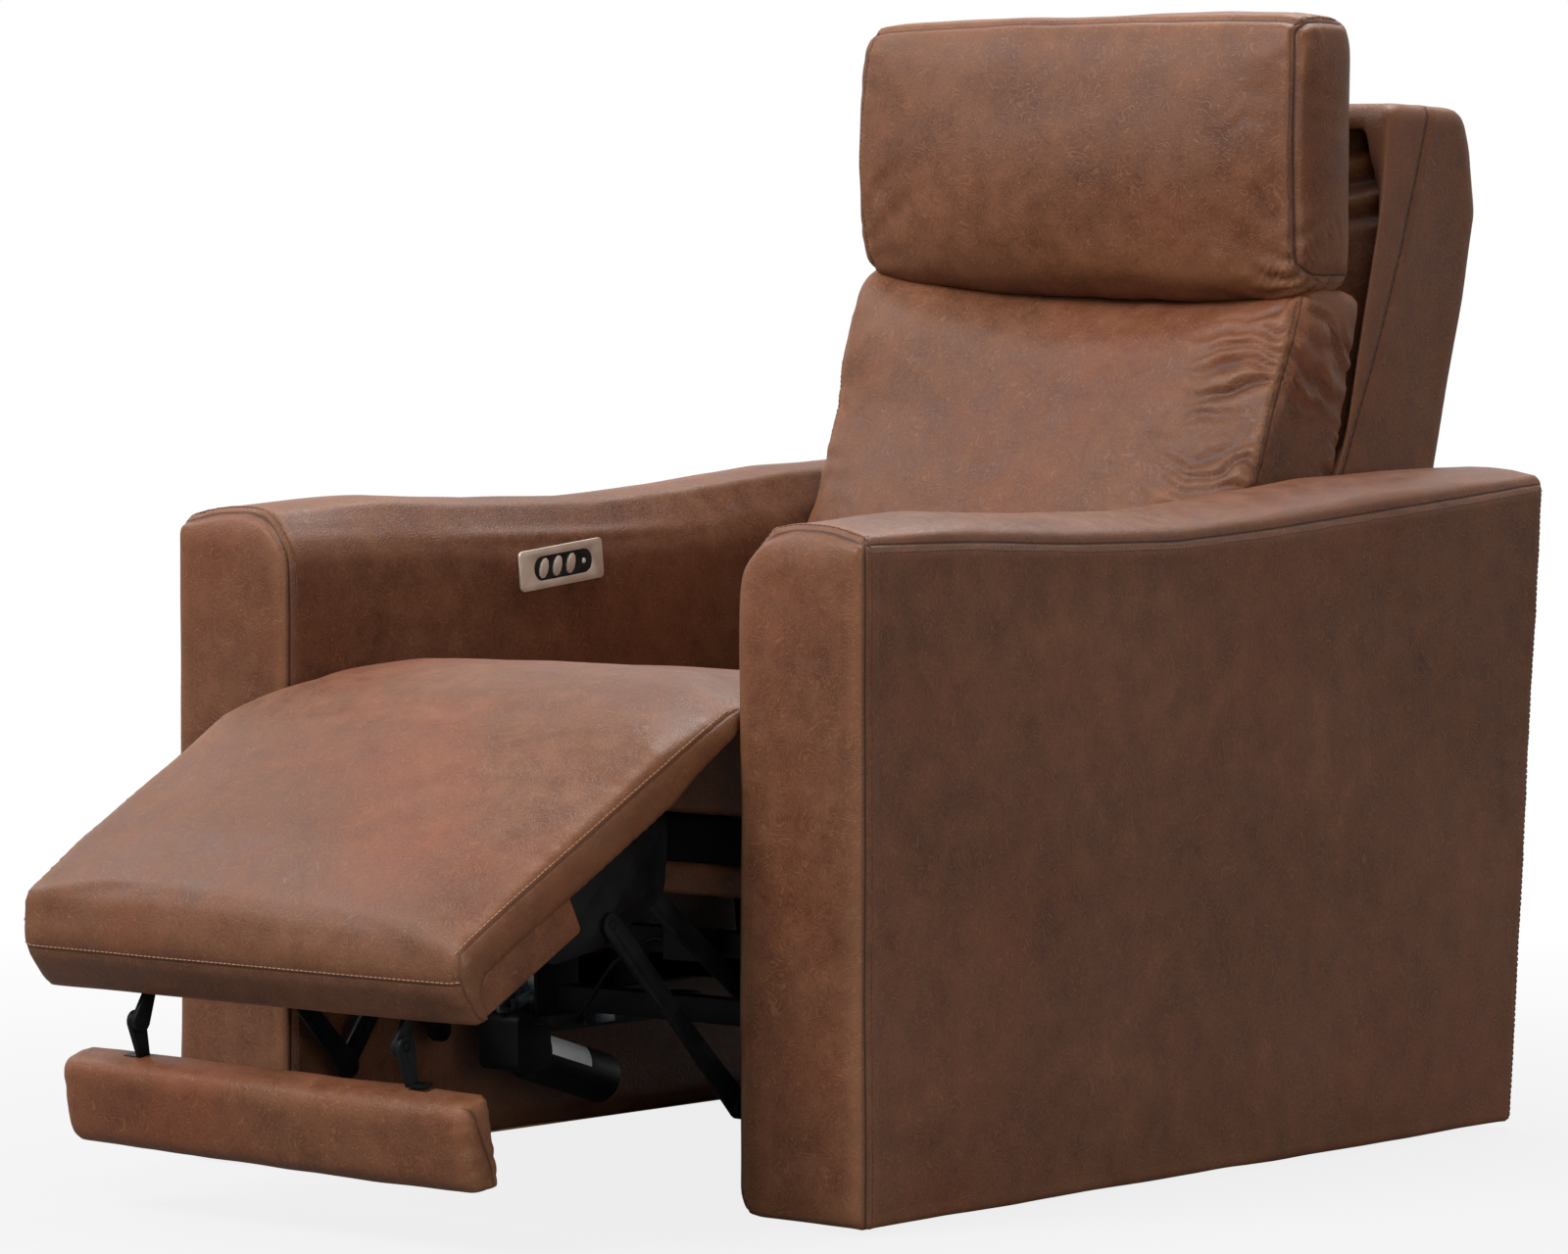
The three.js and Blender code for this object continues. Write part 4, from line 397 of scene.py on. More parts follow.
def swell(piece, held, most):
    """Lets the skin swell under pressure, no point further than the most, in millimetres."""
    rest = coords(piece)
    group = piece.vertex_groups.new(name="held")
    group.add([int(k) for k in np.flatnonzero(held)], 1.0, "REPLACE")
    cloth = piece.modifiers.new("Foam", "CLOTH")
    cloth.settings.vertex_group_mass = group.name
    cloth.settings.use_pressure = True
    cloth.settings.uniform_pressure_force = PRESSURE
    cloth.settings.effector_weights.gravity = 0.0
    cloth.settings.quality = 4
    for step in range(1, LAST_FRAME + 1):
        scene.frame_set(step)
    shown = piece.evaluated_get(bpy.context.evaluated_depsgraph_get())
    flat = np.empty(len(rest) * 3)
    shown.data.vertices.foreach_get("co", flat)
    moved = flat.reshape(-1, 3) - rest
    for _ in range(3):
        moved += (neighbour_mean(piece, moved) - moved) * 0.7
    piece.modifiers.remove(cloth)
    piece.vertex_groups.clear()
    scene.frame_set(1)
    length = np.linalg.norm(moved, axis=1)
    cap = most * MM
    share = cap * np.tanh(length / cap) / np.maximum(length, 1e-9)
    set_coords(piece, rest + moved * share[:, None])
    print(piece.name, "swelled by up to", round(float(length.max()) / MM, 1), "mm before the cap")


def noise_at(co, scale, seed):
    """Smooth noise over the points, about one wave for each scale, in millimetres."""
    grid = co / (scale * MM) + seed
    return np.array([noise.noise(Vector(p)) for p in grid])


END_FADE = 0.06  # the share of a seam over which its folds begin and end


def gather(piece, field, seam, depth, pitch, reach, share, seed):
    """Folds square to one seam, over a share of its length."""
    total = len(field.rows[seam]) * SEAM_STEP
    run = field.along / total
    inside = smoothstep(share[0] - END_FADE, share[0] + END_FADE, run) * (
        1 - smoothstep(share[1] - END_FADE, share[1] + END_FADE, run)
    )
    co = coords(piece)
    drift = noise_at(co, 70, seed) * 1.5 + noise_at(co, 28, seed + 7.3) * 0.5
    wave = np.cos(2 * math.pi * (field.along / pitch + drift))
    fold = np.sign(wave) * np.abs(wave) ** 0.8
    strength = 0.55 + 0.9 * noise_at(co, 60, seed + 3.1)
    fade = np.exp(-((field.far / reach) ** 1.4)) * smoothstep(0.5, 7, field.far)
    push = depth * fold * fade * inside * np.clip(strength, 0, 1.2) * (field.which == seam)
    set_coords(piece, co + normals(piece) * push[:, None] * MM)


def ripple(piece, depth, scale, seed):
    """The slight slackness of a hide over foam."""
    co = coords(piece)
    push = depth * noise_at(co, scale, seed) + depth * 0.4 * noise_at(co, scale * 0.4, seed + 5)
    set_coords(piece, co + normals(piece) * push[:, None] * MM)


# %% [markdown]
# ## Materials
# The leather is a pull-up hide: it is dyed through and waxed, so it lightens where it is stretched,
# and a painted highlight lies over that paleness on edges. Its creases are darkened with painted
# shade. Its surface is embossed with fine curling lines over pores.
# Each pattern is a node with a real size in millimetres, and colours are the sRGB values that a
# colour picker shows, turned to the linear values that Blender works in.

# %% Colours and nodes
def colour(text):
    """An sRGB hex colour as linear red, green, blue and alpha."""
    parts = [int(text[k : k + 2], 16) / 255 for k in (1, 3, 5)]
    linear = [p / 12.92 if p <= 0.04045 else ((p + 0.055) / 1.055) ** 2.4 for p in parts]
    return (*linear, 1.0)


def feed(tree, node, inputs):
    """Links a node's inputs to other nodes, or sets them at values."""
    for key, value in inputs.items():
        if isinstance(value, bpy.types.NodeSocket):
            tree.links.new(value, node.inputs[key])
        else:
            node.inputs[key].default_value = value


def add(tree, kind, inputs=None, **settings):
    """Adds a node, with its settings and with what its inputs are linked to or set at."""
    node = tree.nodes.new(kind)
    for key, value in settings.items():
        setattr(node, key, value)
    feed(tree, node, inputs or {})
    return node


def new_material(name):
    material = bpy.data.materials.new(name)
    material.use_nodes = True
    tree = material.node_tree
    shader = tree.nodes["Principled BSDF"]
    return material, tree, shader


def per_metre(size_mm):
    """The scale that gives a texture one feature for each size."""
    return 1000.0 / size_mm


def ramp(tree, value, stops):
    """Colours along a value. Stops are places and hex colours."""
    node = add(tree, "ShaderNodeValToRGB", {"Fac": value})
    points = node.color_ramp.elements
    while len(points) < len(stops):
        points.new(0.5)
    for point, (place, text) in zip(points, stops):
        point.position = place
        point.color = colour(text)
    return node.outputs["Color"]


def dyed(tree, base, share, text):
    """A colour with a share of another over it, which is given in hex."""
    mixed = {0: share, 6: base, 7: colour(text)}
    return add(tree, "ShaderNodeMix", mixed, data_type="RGBA").outputs[2]


def worked(tree, how, a, b=0.5):
    """One step of arithmetic."""
    return add(tree, "ShaderNodeMath", {0: a, 1: b}, operation=how).outputs[0]


def sum_of(tree, *pairs):
    """Values times their weights, added up."""
    total = None
    for value, weight in pairs:
        part = worked(tree, "MULTIPLY", value, weight)
        total = part if total is None else worked(tree, "ADD", total, part)
    return total


def span(tree, value, low, high, to_low, to_high):
    """A value carried over from one range to another."""
    ends = {"From Min": low, "From Max": high, "To Min": to_low, "To Max": to_high}
    return add(tree, "ShaderNodeMapRange", {"Value": value, **ends}).outputs[0]


# %% Pull-up leather
HIDE_TONES = [(0.34, "#4a2b1c"), (0.45, "#5c3825"), (0.55, "#6a432e"), (0.66, "#7c523b")]
# Red and cold are tones that vary at random. The deep tone is painted shade laid over whole pieces.
RED_DYE, COLD_DYE, PIECE_PAINTED_SHADE = "#7a3b22", "#482a20", "#24130c"
# The curl tone is the emboss's own. The edge tone is pull-up paleness with a painted highlight, the
# crease tone painted shade in hollows, and the seam tone painted shade in the seams' creases.
CURL_WAX, PULLED_PALE_AND_SHEEN, CREASE_PAINTED_SHADE, SEAM_PAINTED_SHADE = "#9a7050", "#8f6443", "#3c231a", "#22130e"


def pull_up_leather(name, origin, red=0.5, seam=0.8, dark=0.0):
    """A hide cut from its own part of the skin. Red says how much of it is reddish, seam how much
    painted shade darkens the seams' creases, and dark how much painted shade darkens the whole
    hide, set by how brightly its piece is lit."""
    material, tree, shader = new_material(name)
    place = add(tree, "ShaderNodeTexCoord").outputs["Object"]
    place = add(tree, "ShaderNodeMapping", {"Vector": place, "Location": origin}).outputs[0]

    def clouds(size, detail=3.0, rough=0.55, twist=0.0):
        grain = {"Scale": per_metre(size), "Detail": detail, "Roughness": rough}
        grain["Distortion"] = twist
        return add(tree, "ShaderNodeTexNoise", {"Vector": place, **grain}).outputs[0]

    broad, patch, speck = clouds(240, 3), clouds(34, 6, 0.68), clouds(3.2, 3)
    mottle = sum_of(tree, (broad, 0.40), (patch, 0.46), (speck, 0.14))
    base = ramp(tree, mottle, HIDE_TONES)
    warm = span(tree, clouds(330, 3, 0.6), 0.5, 0.66, 0.0, red)
    base = dyed(tree, base, warm, RED_DYE)
    cool = span(tree, clouds(120, 5, 0.62), 0.52, 0.72, 0.0, 0.3)
    base = dyed(tree, base, cool, COLD_DYE)

    # The embossed curls, as thin contour lines of a twisted noise
    curl = clouds(26, 2, 0.5, 1.2)
    curl = worked(tree, "PINGPONG", worked(tree, "MULTIPLY", curl, 15.0), 0.5)
    curl = span(tree, curl, 0.0, 0.16, 1.0, 0.0)
    base = dyed(tree, base, sum_of(tree, (curl, 0.24)), CURL_WAX)

    # Paler on edges, as pull-up wax stretched over them with a painted highlight, and darker in
    # hollows and creases as painted shade
    surface_bend, side, near = (
        add(tree, "ShaderNodeAttribute", attribute_name=stored).outputs["Fac"]
        for stored in ("surface_bend", "seam_side", "seam_near")
    )
    # Pull-up paleness on edges, with a painted highlight
    pull_up_and_sheen = span(tree, surface_bend, 0.2, 1.0, 0.0, 0.2)
    base = dyed(tree, base, pull_up_and_sheen, PULLED_PALE_AND_SHEEN)
    # Painted shade in hollows and creases
    crease_painted_shade = span(tree, surface_bend, -0.15, -0.9, 0.0, 0.55)
    base = dyed(tree, base, crease_painted_shade, CREASE_PAINTED_SHADE)
    # Painted shade darkening the whole hide, set per piece by how brightly the lamps light it
    base = dyed(tree, base, dark, PIECE_PAINTED_SHADE)

    # The seam's crease, as a dark line of painted shade
    line = span(tree, worked(tree, "ABSOLUTE", side), 0.4, 2.2, 1.0, 0.0)
    line = worked(tree, "MULTIPLY", line, near)
    base = dyed(tree, base, sum_of(tree, (line, seam)), SEAM_PAINTED_SHADE)
    rough = span(tree, patch, 0.35, 0.65, 0.42, 0.54)
    feed(tree, shader, {"Base Color": base, "Roughness": rough})
    feed(tree, shader, {"IOR": 1.5, "Specular IOR Level": 0.2})

    cells = {"Vector": place, "Scale": per_metre(1.9), "Randomness": 1.0}
    pores = add(tree, "ShaderNodeTexVoronoi", cells, feature="F1").outputs[0]
    height = sum_of(tree, (pores, 0.35), (speck, 0.5), (curl, 0.35), (patch, 0.8), (line, -2.2))
    bump = add(tree, "ShaderNodeBump", {"Height": height, "Strength": 0.55, "Distance": 0.0006})
    feed(tree, shader, {"Normal": bump.outputs[0]})
    return material


# %% [markdown]
# ## Metals and plastics
# The mechanism is stamped steel with a black electro-coat, which pools in a faint orange peel.
# Rods are zinc plated, with a bluish cast. The control plate is bead blasted and anodised
# aluminium. The buttons and boxes are moulded plastic with a spark texture.

# %% Coated steel, zinc, aluminium, plastic, wood
def plain_finish(name, hexes, metallic, rough, grain, bump, bump_grain, specular=0.5):
    """A finish with two near colours in clouds of one grain, and a fine bump of another."""
    material, tree, shader = new_material(name)
    place = add(tree, "ShaderNodeTexCoord").outputs["Object"]
    cloudy = {"Vector": place, "Scale": per_metre(grain), "Detail": 4.0}
    clouds = add(tree, "ShaderNodeTexNoise", cloudy).outputs[0]
    tones = ramp(tree, clouds, [(0.4, hexes[0]), (0.62, hexes[1])])
    feed(tree, shader, {"Base Color": tones, "Metallic": metallic, "Specular IOR Level": specular})
    feed(tree, shader, {"Roughness": span(tree, clouds, 0.35, 0.65, *rough)})
    pebbly = {"Vector": place, "Scale": per_metre(bump_grain), "Detail": 2.0}
    fine = add(tree, "ShaderNodeTexNoise", pebbly).outputs[0]
    raised = add(tree, "ShaderNodeBump", {"Height": fine, "Strength": bump, "Distance": 0.0003})
    feed(tree, shader, {"Normal": raised.outputs[0]})
    return material


finish = {
    "mechanism_steel": plain_finish(
        "electro_coated_steel", ("#070708", "#0e0f10"), 0.0, (0.4, 0.55), 34, 0.25, 2.5, 0.12
    ),
    "black_plastic": plain_finish(
        "spark_textured_abs", ("#0b0b0c", "#121315"), 0.0, (0.45, 0.58), 40, 0.35, 0.9, 0.2
    ),
    "zinc_steel": plain_finish(
        "zinc_plated_steel", ("#8d9aa6", "#aeb9c2"), 1.0, (0.24, 0.36), 12, 0.2, 1.2
    ),
    "panel_metal": plain_finish(
        "bead_blasted_aluminium", ("#b9a999", "#c4b5a6"), 0.35, (0.38, 0.48), 18, 0.3, 0.8
    ),
    "frame_wood": plain_finish(
        "birch_plywood", ("#a98459", "#c29c6f"), 0.0, (0.6, 0.75), 30, 0.35, 3.0
    ),
    "lamp_plastic": plain_finish(
        "clear_lamp_polycarbonate", ("#cbbfb2", "#d8cdc1"), 0.0, (0.2, 0.3), 6, 0.1, 1.0
    ),
}
lining = pull_up_leather("leather_on_boards", (7.1, 2.2, 0.4), red=0.2)
dust_cloth = plain_finish(
    "black_woven_dust_cloth", ("#060606", "#0b0b0b"), 0.0, (0.8, 0.9), 8, 0.3, 0.9, 0.1
)
print("finishes", [m.name for m in finish.values()])

# %% [markdown]
# ## Stitches
# A stitch is a short bar of thread that dips into a hole at each end. Hundreds of them follow the
# seams, so Geometry Nodes place them: the row of points becomes a curve, the curve is stepped at
# the stitch length, and one small bar is turned along the curve at each step.

# %% Stitch rows
THREAD = plain_finish("dark_nylon_thread", ("#3a241a", "#4c3023"), 0.0, (0.5, 0.6), 2, 0.2, 0.5)
PALE_THREAD = plain_finish("tan_nylon_thread", ("#8a6248", "#9c7355"), 0.0, (0.5, 0.6), 2, 0.2, 0.5)
STITCH = {"Step": 5.5 * MM, "Length": 3.9 * MM, "Thickness": 0.55 * MM}


def stitch_tree():
    tree = bpy.data.node_groups.new("Stitch rows", "GeometryNodeTree")
    face = tree.interface
    face.new_socket("Rows", in_out="INPUT", socket_type="NodeSocketGeometry")
    for label in STITCH:
        face.new_socket(label, in_out="INPUT", socket_type="NodeSocketFloat")
    face.new_socket("Thread", in_out="INPUT", socket_type="NodeSocketMaterial")
    face.new_socket("Stitches", in_out="OUTPUT", socket_type="NodeSocketGeometry")
    given = add(tree, "NodeGroupInput").outputs
    curve = add(tree, "GeometryNodeMeshToCurve", {"Mesh": given["Rows"]}).outputs[0]
    stepped = {"Curve": curve, "Length": given["Step"]}
    steps = add(tree, "GeometryNodeCurveToPoints", stepped, mode="LENGTH").outputs
    size = {"Vertices": 6, "Radius": given["Thickness"], "Depth": given["Length"]}
    bar = add(tree, "GeometryNodeMeshCylinder", size).outputs["Mesh"]
    tangent = {"Vector": steps["Tangent"]}
    turn = add(tree, "FunctionNodeAlignRotationToVector", tangent, axis="Z").outputs[0]
    each = {"Points": steps["Points"], "Instance": bar, "Rotation": turn}
    placed = add(tree, "GeometryNodeInstanceOnPoints", each).outputs[0]
    real = add(tree, "GeometryNodeRealizeInstances", {"Geometry": placed}).outputs[0]
    coloured = {"Geometry": real, "Material": given["Thread"]}
    made = add(tree, "GeometryNodeSetMaterial", coloured).outputs[0]
    add(tree, "NodeGroupOutput", {"Stitches": made})
    return tree


STITCHES = stitch_tree()


def stitch(name, rows, thread=THREAD):
    """Runs the tree over rows of points and keeps the stitches as a plain mesh."""
    mesh = bpy.data.meshes.new(name)
    starts = np.cumsum([0] + [len(r) for r in rows[:-1]])
    edges = [(int(s) + k, int(s) + k + 1) for s, r in zip(starts, rows) for k in range(len(r) - 1)]
    mesh.from_pydata([tuple(p) for r in rows for p in r], edges, [])
    piece = new_piece(name, mesh)
    nodes = piece.modifiers.new("Rows", "NODES")
    nodes.node_group = STITCHES
    values = {**STITCH, "Thread": thread}
    for item in STITCHES.interface.items_tree:
        if item.name in values:
            nodes[item.identifier] = values[item.name]
    keep_result(piece)
    print(name, "holds", len(piece.data.polygons) // 8, "stitches")
    return piece


def side_stitches(name, piece, rows, aside):
    """Stitches beside a piece's two side seams, so many millimetres outward or inward."""
    surface = surface_of(piece)
    both = zip(rows, (aside, -aside))
    return stitch(name, [lay(row, surface, THREAD_LIFT, by) for row, by in both])


def sheet(name, rows, wall, offset=-1.0):
    """A thin sheet through rows of points, with its wall inside them or, at one, outside."""
    width = len(rows[0])
    quads = [
        (k, k + 1, k + width + 1, k + width)
        for row in range(len(rows) - 1)
        for k in range(row * width, row * width + width - 1)
    ]
    mesh = bpy.data.meshes.new(name)
    mesh.from_pydata([tuple(p) for row in rows for p in row], [], quads)
    piece = new_piece(name, mesh)
    solid = piece.modifiers.new("Wall", "SOLIDIFY")
    solid.thickness = wall * MM
    solid.offset = offset
    keep_result(piece)
    print(name, "has", len(piece.data.polygons), "faces")
    return piece


def finish_leather(piece, material, body=None):
    """Puts the hide on. A piece that spans two bodies is given none and rides on none."""
    piece.data.materials.clear()
    piece.data.materials.append(material)
    for p in piece.data.polygons:
        p.use_smooth = True
    if body:
        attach(piece, body)


# %% [markdown]
# ## The arms
# Each arm is a padded box with a front panel, a side panel and a top panel. The top panel dips
# behind the hand and climbs again to the rear, and its seam follows it a little below the edge.
# The solid's cover is hollow, so a box fills it before it is skinned.

# %% Arm seams
ARM_IN, ARM_OUT = 279.0, 426.0
ARM_TOP = 614.0
ARM_RISE = 29.0
ARM_DEPTH, ARM_LEAN = 1026.0, 52.0
ARM_FOOT = 12

# Shares of the arm's depth, and how high its top seam runs there, as shares of its rise
ARM_WAVE = [(0, 0), (0.15, -0.09), (0.29, -0.31), (0.43, -0.38)]
ARM_WAVE += [(0.57, -0.14), (0.72, 0.24), (0.87, 0.62), (1, 1)]


def arm_seams():
    """The near arm's seams: round its front panel, along its top edge and down its rear."""
    front = [
        at(ARM_OUT, 3, ARM_FOOT),
        at(ARM_OUT, 3, ARM_TOP - 6),
        at(ARM_OUT - 6, 2, ARM_TOP + 2),
        at(ARM_OUT - 50, 2, ARM_TOP + 14),
        at(ARM_IN + 58, 2, ARM_TOP + 16),
        at(ARM_IN + 20, 2, ARM_TOP + 2),
        at(ARM_IN, 3, ARM_TOP - 30),
        at(ARM_IN, 3, ARM_FOOT),
    ]
    depth = ARM_DEPTH + ARM_LEAN
    top = [
        at(ARM_OUT, 4 + (depth - 14) * share, ARM_TOP + ARM_RISE * rise) for share, rise in ARM_WAVE
    ]
    rear = [
        at(ARM_OUT, depth - 4, ARM_TOP + ARM_RISE - 6),
        at(ARM_OUT, ARM_DEPTH - 2, ARM_FOOT),
    ]
    return front, top, rear


# %% Build the near arm and mirror it
ARM_WALL = 7.0  # how far the filling box stays inside the cover's own walls


def lay_all(rows, piece):
    """Rows given by their corners, made even and laid on a skin."""
    surface = surface_of(piece)
    return [lay(even_row(row), surface) for row in rows]


low = at(ARM_IN + ARM_WALL, 8, 8)
high = at(ARM_OUT - ARM_WALL, ARM_DEPTH - 12, ARM_TOP - 18)
near_arm = skin_of("near_arm", ["near_arm_cover"], 5.0, [(low, high)])
relax(near_arm, 5)
arm_rows = lay_all(arm_seams(), near_arm)
ripple(near_arm, 1.5, 150, 2.0)
arm_field = SeamField(near_arm, arm_rows)
sew(near_arm, arm_field)
arm_surface = surface_of(near_arm)
arm_stitches = [lay(row, arm_surface, THREAD_LIFT, 7.0) for row in arm_rows]


def mirrored(piece, name):
    mesh = piece.data.copy()
    mesh.transform(Matrix.Scale(-1, 4, (1, 0, 0)))
    mesh.flip_normals()
    return new_piece(name, mesh)


far_arm = mirrored(near_arm, "far_arm")
near_arm_thread = stitch("near_arm_stitches", arm_stitches)
far_arm_thread = mirrored(near_arm_thread, "far_arm_stitches")
for arm, thread, node, origin in (
    (near_arm, near_arm_thread, "near_arm_cover", (3.1, 0.0, 0.0)),
    (far_arm, far_arm_thread, "far_arm_cover", (0.4, 5.2, 1.3)),
):
    # The arms take some painted shade over their whole hide
    leather = pull_up_leather(arm.name + "_hide", origin, red=0.22, seam=0.7, dark=0.12)
    finish_leather(arm, leather, "base")
    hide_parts(node)
    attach(thread, "base")

# %% [markdown]
# ## Seat and leg rest
# One hide runs over the seat, round the knee and down the leg rest, so that no gap opens when the
# leg rest swings. It is one skin over both solids, and rides on neither body. The box at the knee
# joins them before they are skinned.

# %% Seat and leg rest skin
SEAT_HALF = 275.0
KNEE_ROUND = (50, 125)  # from the knee's middle, smoothed wholly and not at all
seat_skin = skin_of(
    "seat_and_legrest",
    ["seat_cushion", "legrest_cushion"],
    6.0,
    [(at(-SEAT_HALF + 2, 2, 440), at(SEAT_HALF - 2, 60, 478))],
)
knee = at(0, 17, 468)
knee_gap = np.linalg.norm(coords(seat_skin)[:, 1:] - np.array([knee.y, knee.z]), axis=1) / MM
relax(seat_skin, 4)
soften(seat_skin, 5, 0.7)
width_kept = coords(seat_skin)[:, 0]
soften(seat_skin, 110, 1 - smoothstep(*KNEE_ROUND, knee_gap), keep_size=False)
co = coords(seat_skin)
co[:, 0] = width_kept
set_coords(seat_skin, co)

# %% [markdown]
# ### Crown, lift and drop
# The filling is fullest along the middle of the pad and over the knee. The pad stands a little
# higher along its far side, and the seat falls away toward the back cushion and reaches under it.
# Each is a smooth ramp between two places, in metres along the depth of the seat.

# %% Shape the pad
LEG_TIP, LEG_ROOT, SEAT_REAR = (-0.765, -0.68), (-0.41, -0.28), (0.05, 0.25)
DROP_FROM_TO, TUCK_FROM_TO = (-0.49, 0.02), (0.17, 0.25)
KNEE_AT, KNEE_SPREAD = -0.475, 0.075
CROWN, LEG_CROWN, KNEE_CROWN, KNEE_RISE = 3.0, 13.0, 8.0, 4.0
FAR_LIFT, REAR_DROP, REAR_TUCK = 15, 30, 18
LIFT_FROM_TO, LIFT_ENDS = (0, 90), (400, 440)  # in millimetres along the leg rest
co, up = coords(seat_skin), normals(seat_skin)
upper = smoothstep(0.1, 0.7, up[:, 2])
from_tip = smoothstep(*LEG_TIP, co[:, 1]) * (1 - smoothstep(*SEAT_REAR, co[:, 1]))
on_leg = from_tip * (1 - smoothstep(*LEG_ROOT, co[:, 1]))
at_knee = np.exp(-(((co[:, 1] - KNEE_AT) / KNEE_SPREAD) ** 2))
crown = dome(co, SEAT_HALF, 0.5)
fullness = crown * (CROWN + LEG_CROWN * on_leg + KNEE_CROWN * at_knee) + KNEE_RISE * at_knee
shift(seat_skin, up=upper * from_tip * fullness)

co = coords(seat_skin)
to_front = PAD_ROOT[0] - (co[:, 1] / MM - ARM_FRONT)
along = to_front * math.cos(SLOPE) - (co[:, 2] / MM - PAD_ROOT[1]) * math.sin(SLOPE)
far_side = 0.5 - 0.5 * co[:, 0] / (SEAT_HALF * MM)
on_pad_only = smoothstep(*LIFT_FROM_TO, along)
lift = FAR_LIFT * far_side * upper * on_pad_only * (1 - smoothstep(*LIFT_ENDS, along))
rear_drop = REAR_DROP * upper * smoothstep(*DROP_FROM_TO, co[:, 1])
rear_tuck = REAR_TUCK * smoothstep(*TUCK_FROM_TO, co[:, 1])
shift(seat_skin, back=rear_tuck - math.sin(SLOPE) * lift, up=math.cos(SLOPE) * lift - rear_drop)

# %% Sew the pad, fill it and let it fold
PAD_EDGE = ((14, 41), (200, 42), (348, 42), (422, 41))
PAD_CORNER = ((428, 40), (438, 15), (434, -20), (425, -31))
PAD_TIP = (440, 14)
seat_rows = []
for side in (1, -1):
    for row in (PAD_EDGE, PAD_CORNER):
        seat_rows.append([on_pad(side * SEAT_HALF, s, n) for s, n in row])
seat_rows.append([on_pad(x, *PAD_TIP) for x in (-SEAT_HALF + 2, -100, 100, SEAT_HALF - 2)])
seat_rows = lay_all(seat_rows, seat_skin)
field = SeamField(seat_skin, seat_rows)
up = normals(seat_skin)
held = (field.far < 6) | (up[:, 2] < -0.4) | (np.abs(up[:, 0]) > 0.8)
swell(seat_skin, held, 4.0)
ripple(seat_skin, 1.6, 160, 9.0)
field = SeamField(seat_skin, seat_rows)
gather(seat_skin, field, 0, 0.5, 46, 46, (0.0, 1.0), 1.0)
gather(seat_skin, field, 1, 1.2, 26, 30, (0.0, 1.0), 4.0)
sew(seat_skin, field, 0.9, 3.6, 0.2)
surface = surface_of(seat_skin)
near_edge, _, far_edge, _, tip_row = seat_rows
beside = [lay(tip_row, surface, THREAD_LIFT, -3.0)]
beside += [lay(row, surface, THREAD_LIFT, 4.0) for row in (near_edge, far_edge)]
seat_thread = stitch("seat_and_legrest_stitches", beside, PALE_THREAD)
# The seat takes the most painted shade over its whole hide
seat_hide = pull_up_leather("seat_hide", (1.7, 0.9, 4.4), red=0.4, seam=0.35, dark=0.17)
finish_leather(seat_skin, seat_hide)
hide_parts("seat_cushion", "legrest_cushion")
for piece in (seat_skin, seat_thread):
    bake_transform(piece)

# %% [markdown]
# ## The cloth behind the seat
# A black stretch cloth closes the crevice between the seat and the back cushion. It is sewn to
# both, and rides on neither body.

# %% Crevice cloth
CLOTH_HALF, CLOTH_WALL = 262.0, 1.2
CLOTH_PATH = [(270, 408), (276, 401), (288, 399), (299, 409), (306, 426), (314, 448)]
across = np.linspace(-CLOTH_HALF, CLOTH_HALF, 15)
rows = [[(x * MM, y * MM, z * MM) for x in across] for y, z in CLOTH_PATH]
crevice_cloth = sheet("crevice_cloth", rows, CLOTH_WALL)
crevice_cloth.data.materials.append(dust_cloth)
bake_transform(crevice_cloth)

# %% [markdown]
# ## Back and head cushions
# These two are soft pillows, each with a front panel, side panels and seams along the front
# edges. The back cushion's front edge is longer than its side panel, so it gathers in folds all
# along the seam. The head cushion sags onto it, most at its middle and on the near side, and its
# lower near corner crumples where they meet.

# %% Shape the head cushion
HEAD_HALF = 276.0
HEAD_SPREAD, FAR_ASIDE = 0.022, 3  # how much wider, and its far half moved out
HINGE_SIDE, HEAD_FRONT = (0.50, 0.545), (0.47, 0.54)
HEAD_LOW, BELLY_BELOW, BELLY_ABOVE = (0.848, 0.93), (0.84, 0.925), (0.94, 1.10)
SAG, SAG_MIDDLE, SAG_NEAR = 13, 16, 12
BELLY_OUT, TOP_RISE, TOP_ABOVE, NEAR_SIDE = 26, 8, (0.98, 1.1), (0.85, 0.98)
head = skin_of("head_pillow", ["head_cushion"], 5.0)
soften(head, 34, 1 - 0.6 * smoothstep(*HINGE_SIDE, coords(head)[:, 1]))
co = coords(head)
shift(head, across=HEAD_SPREAD * co[:, 0] / MM)
lower = 1 - smoothstep(*HEAD_LOW, co[:, 2])
front = 1 - smoothstep(*HEAD_FRONT, co[:, 1])
sag = SAG + SAG_MIDDLE * dome(co, HEAD_HALF, 0.8) + SAG_NEAR * co[:, 0] / (HEAD_HALF * MM)
belly = smoothstep(*BELLY_BELOW, co[:, 2]) * (1 - smoothstep(*BELLY_ABOVE, co[:, 2]))
shift(
    head,
    across=-FAR_ASIDE * (1 + np.sign(-co[:, 0])),
    back=-BELLY_OUT * belly * front * dome(co, HEAD_HALF, 0.5),
)
near_side = smoothstep(*NEAR_SIDE, co[:, 0] / (HEAD_HALF * MM))
reach = 0.35 + 0.65 * np.maximum(front, near_side)
shift(head, up=-lower * sag * reach + TOP_RISE * smoothstep(*TOP_ABOVE, co[:, 2]))

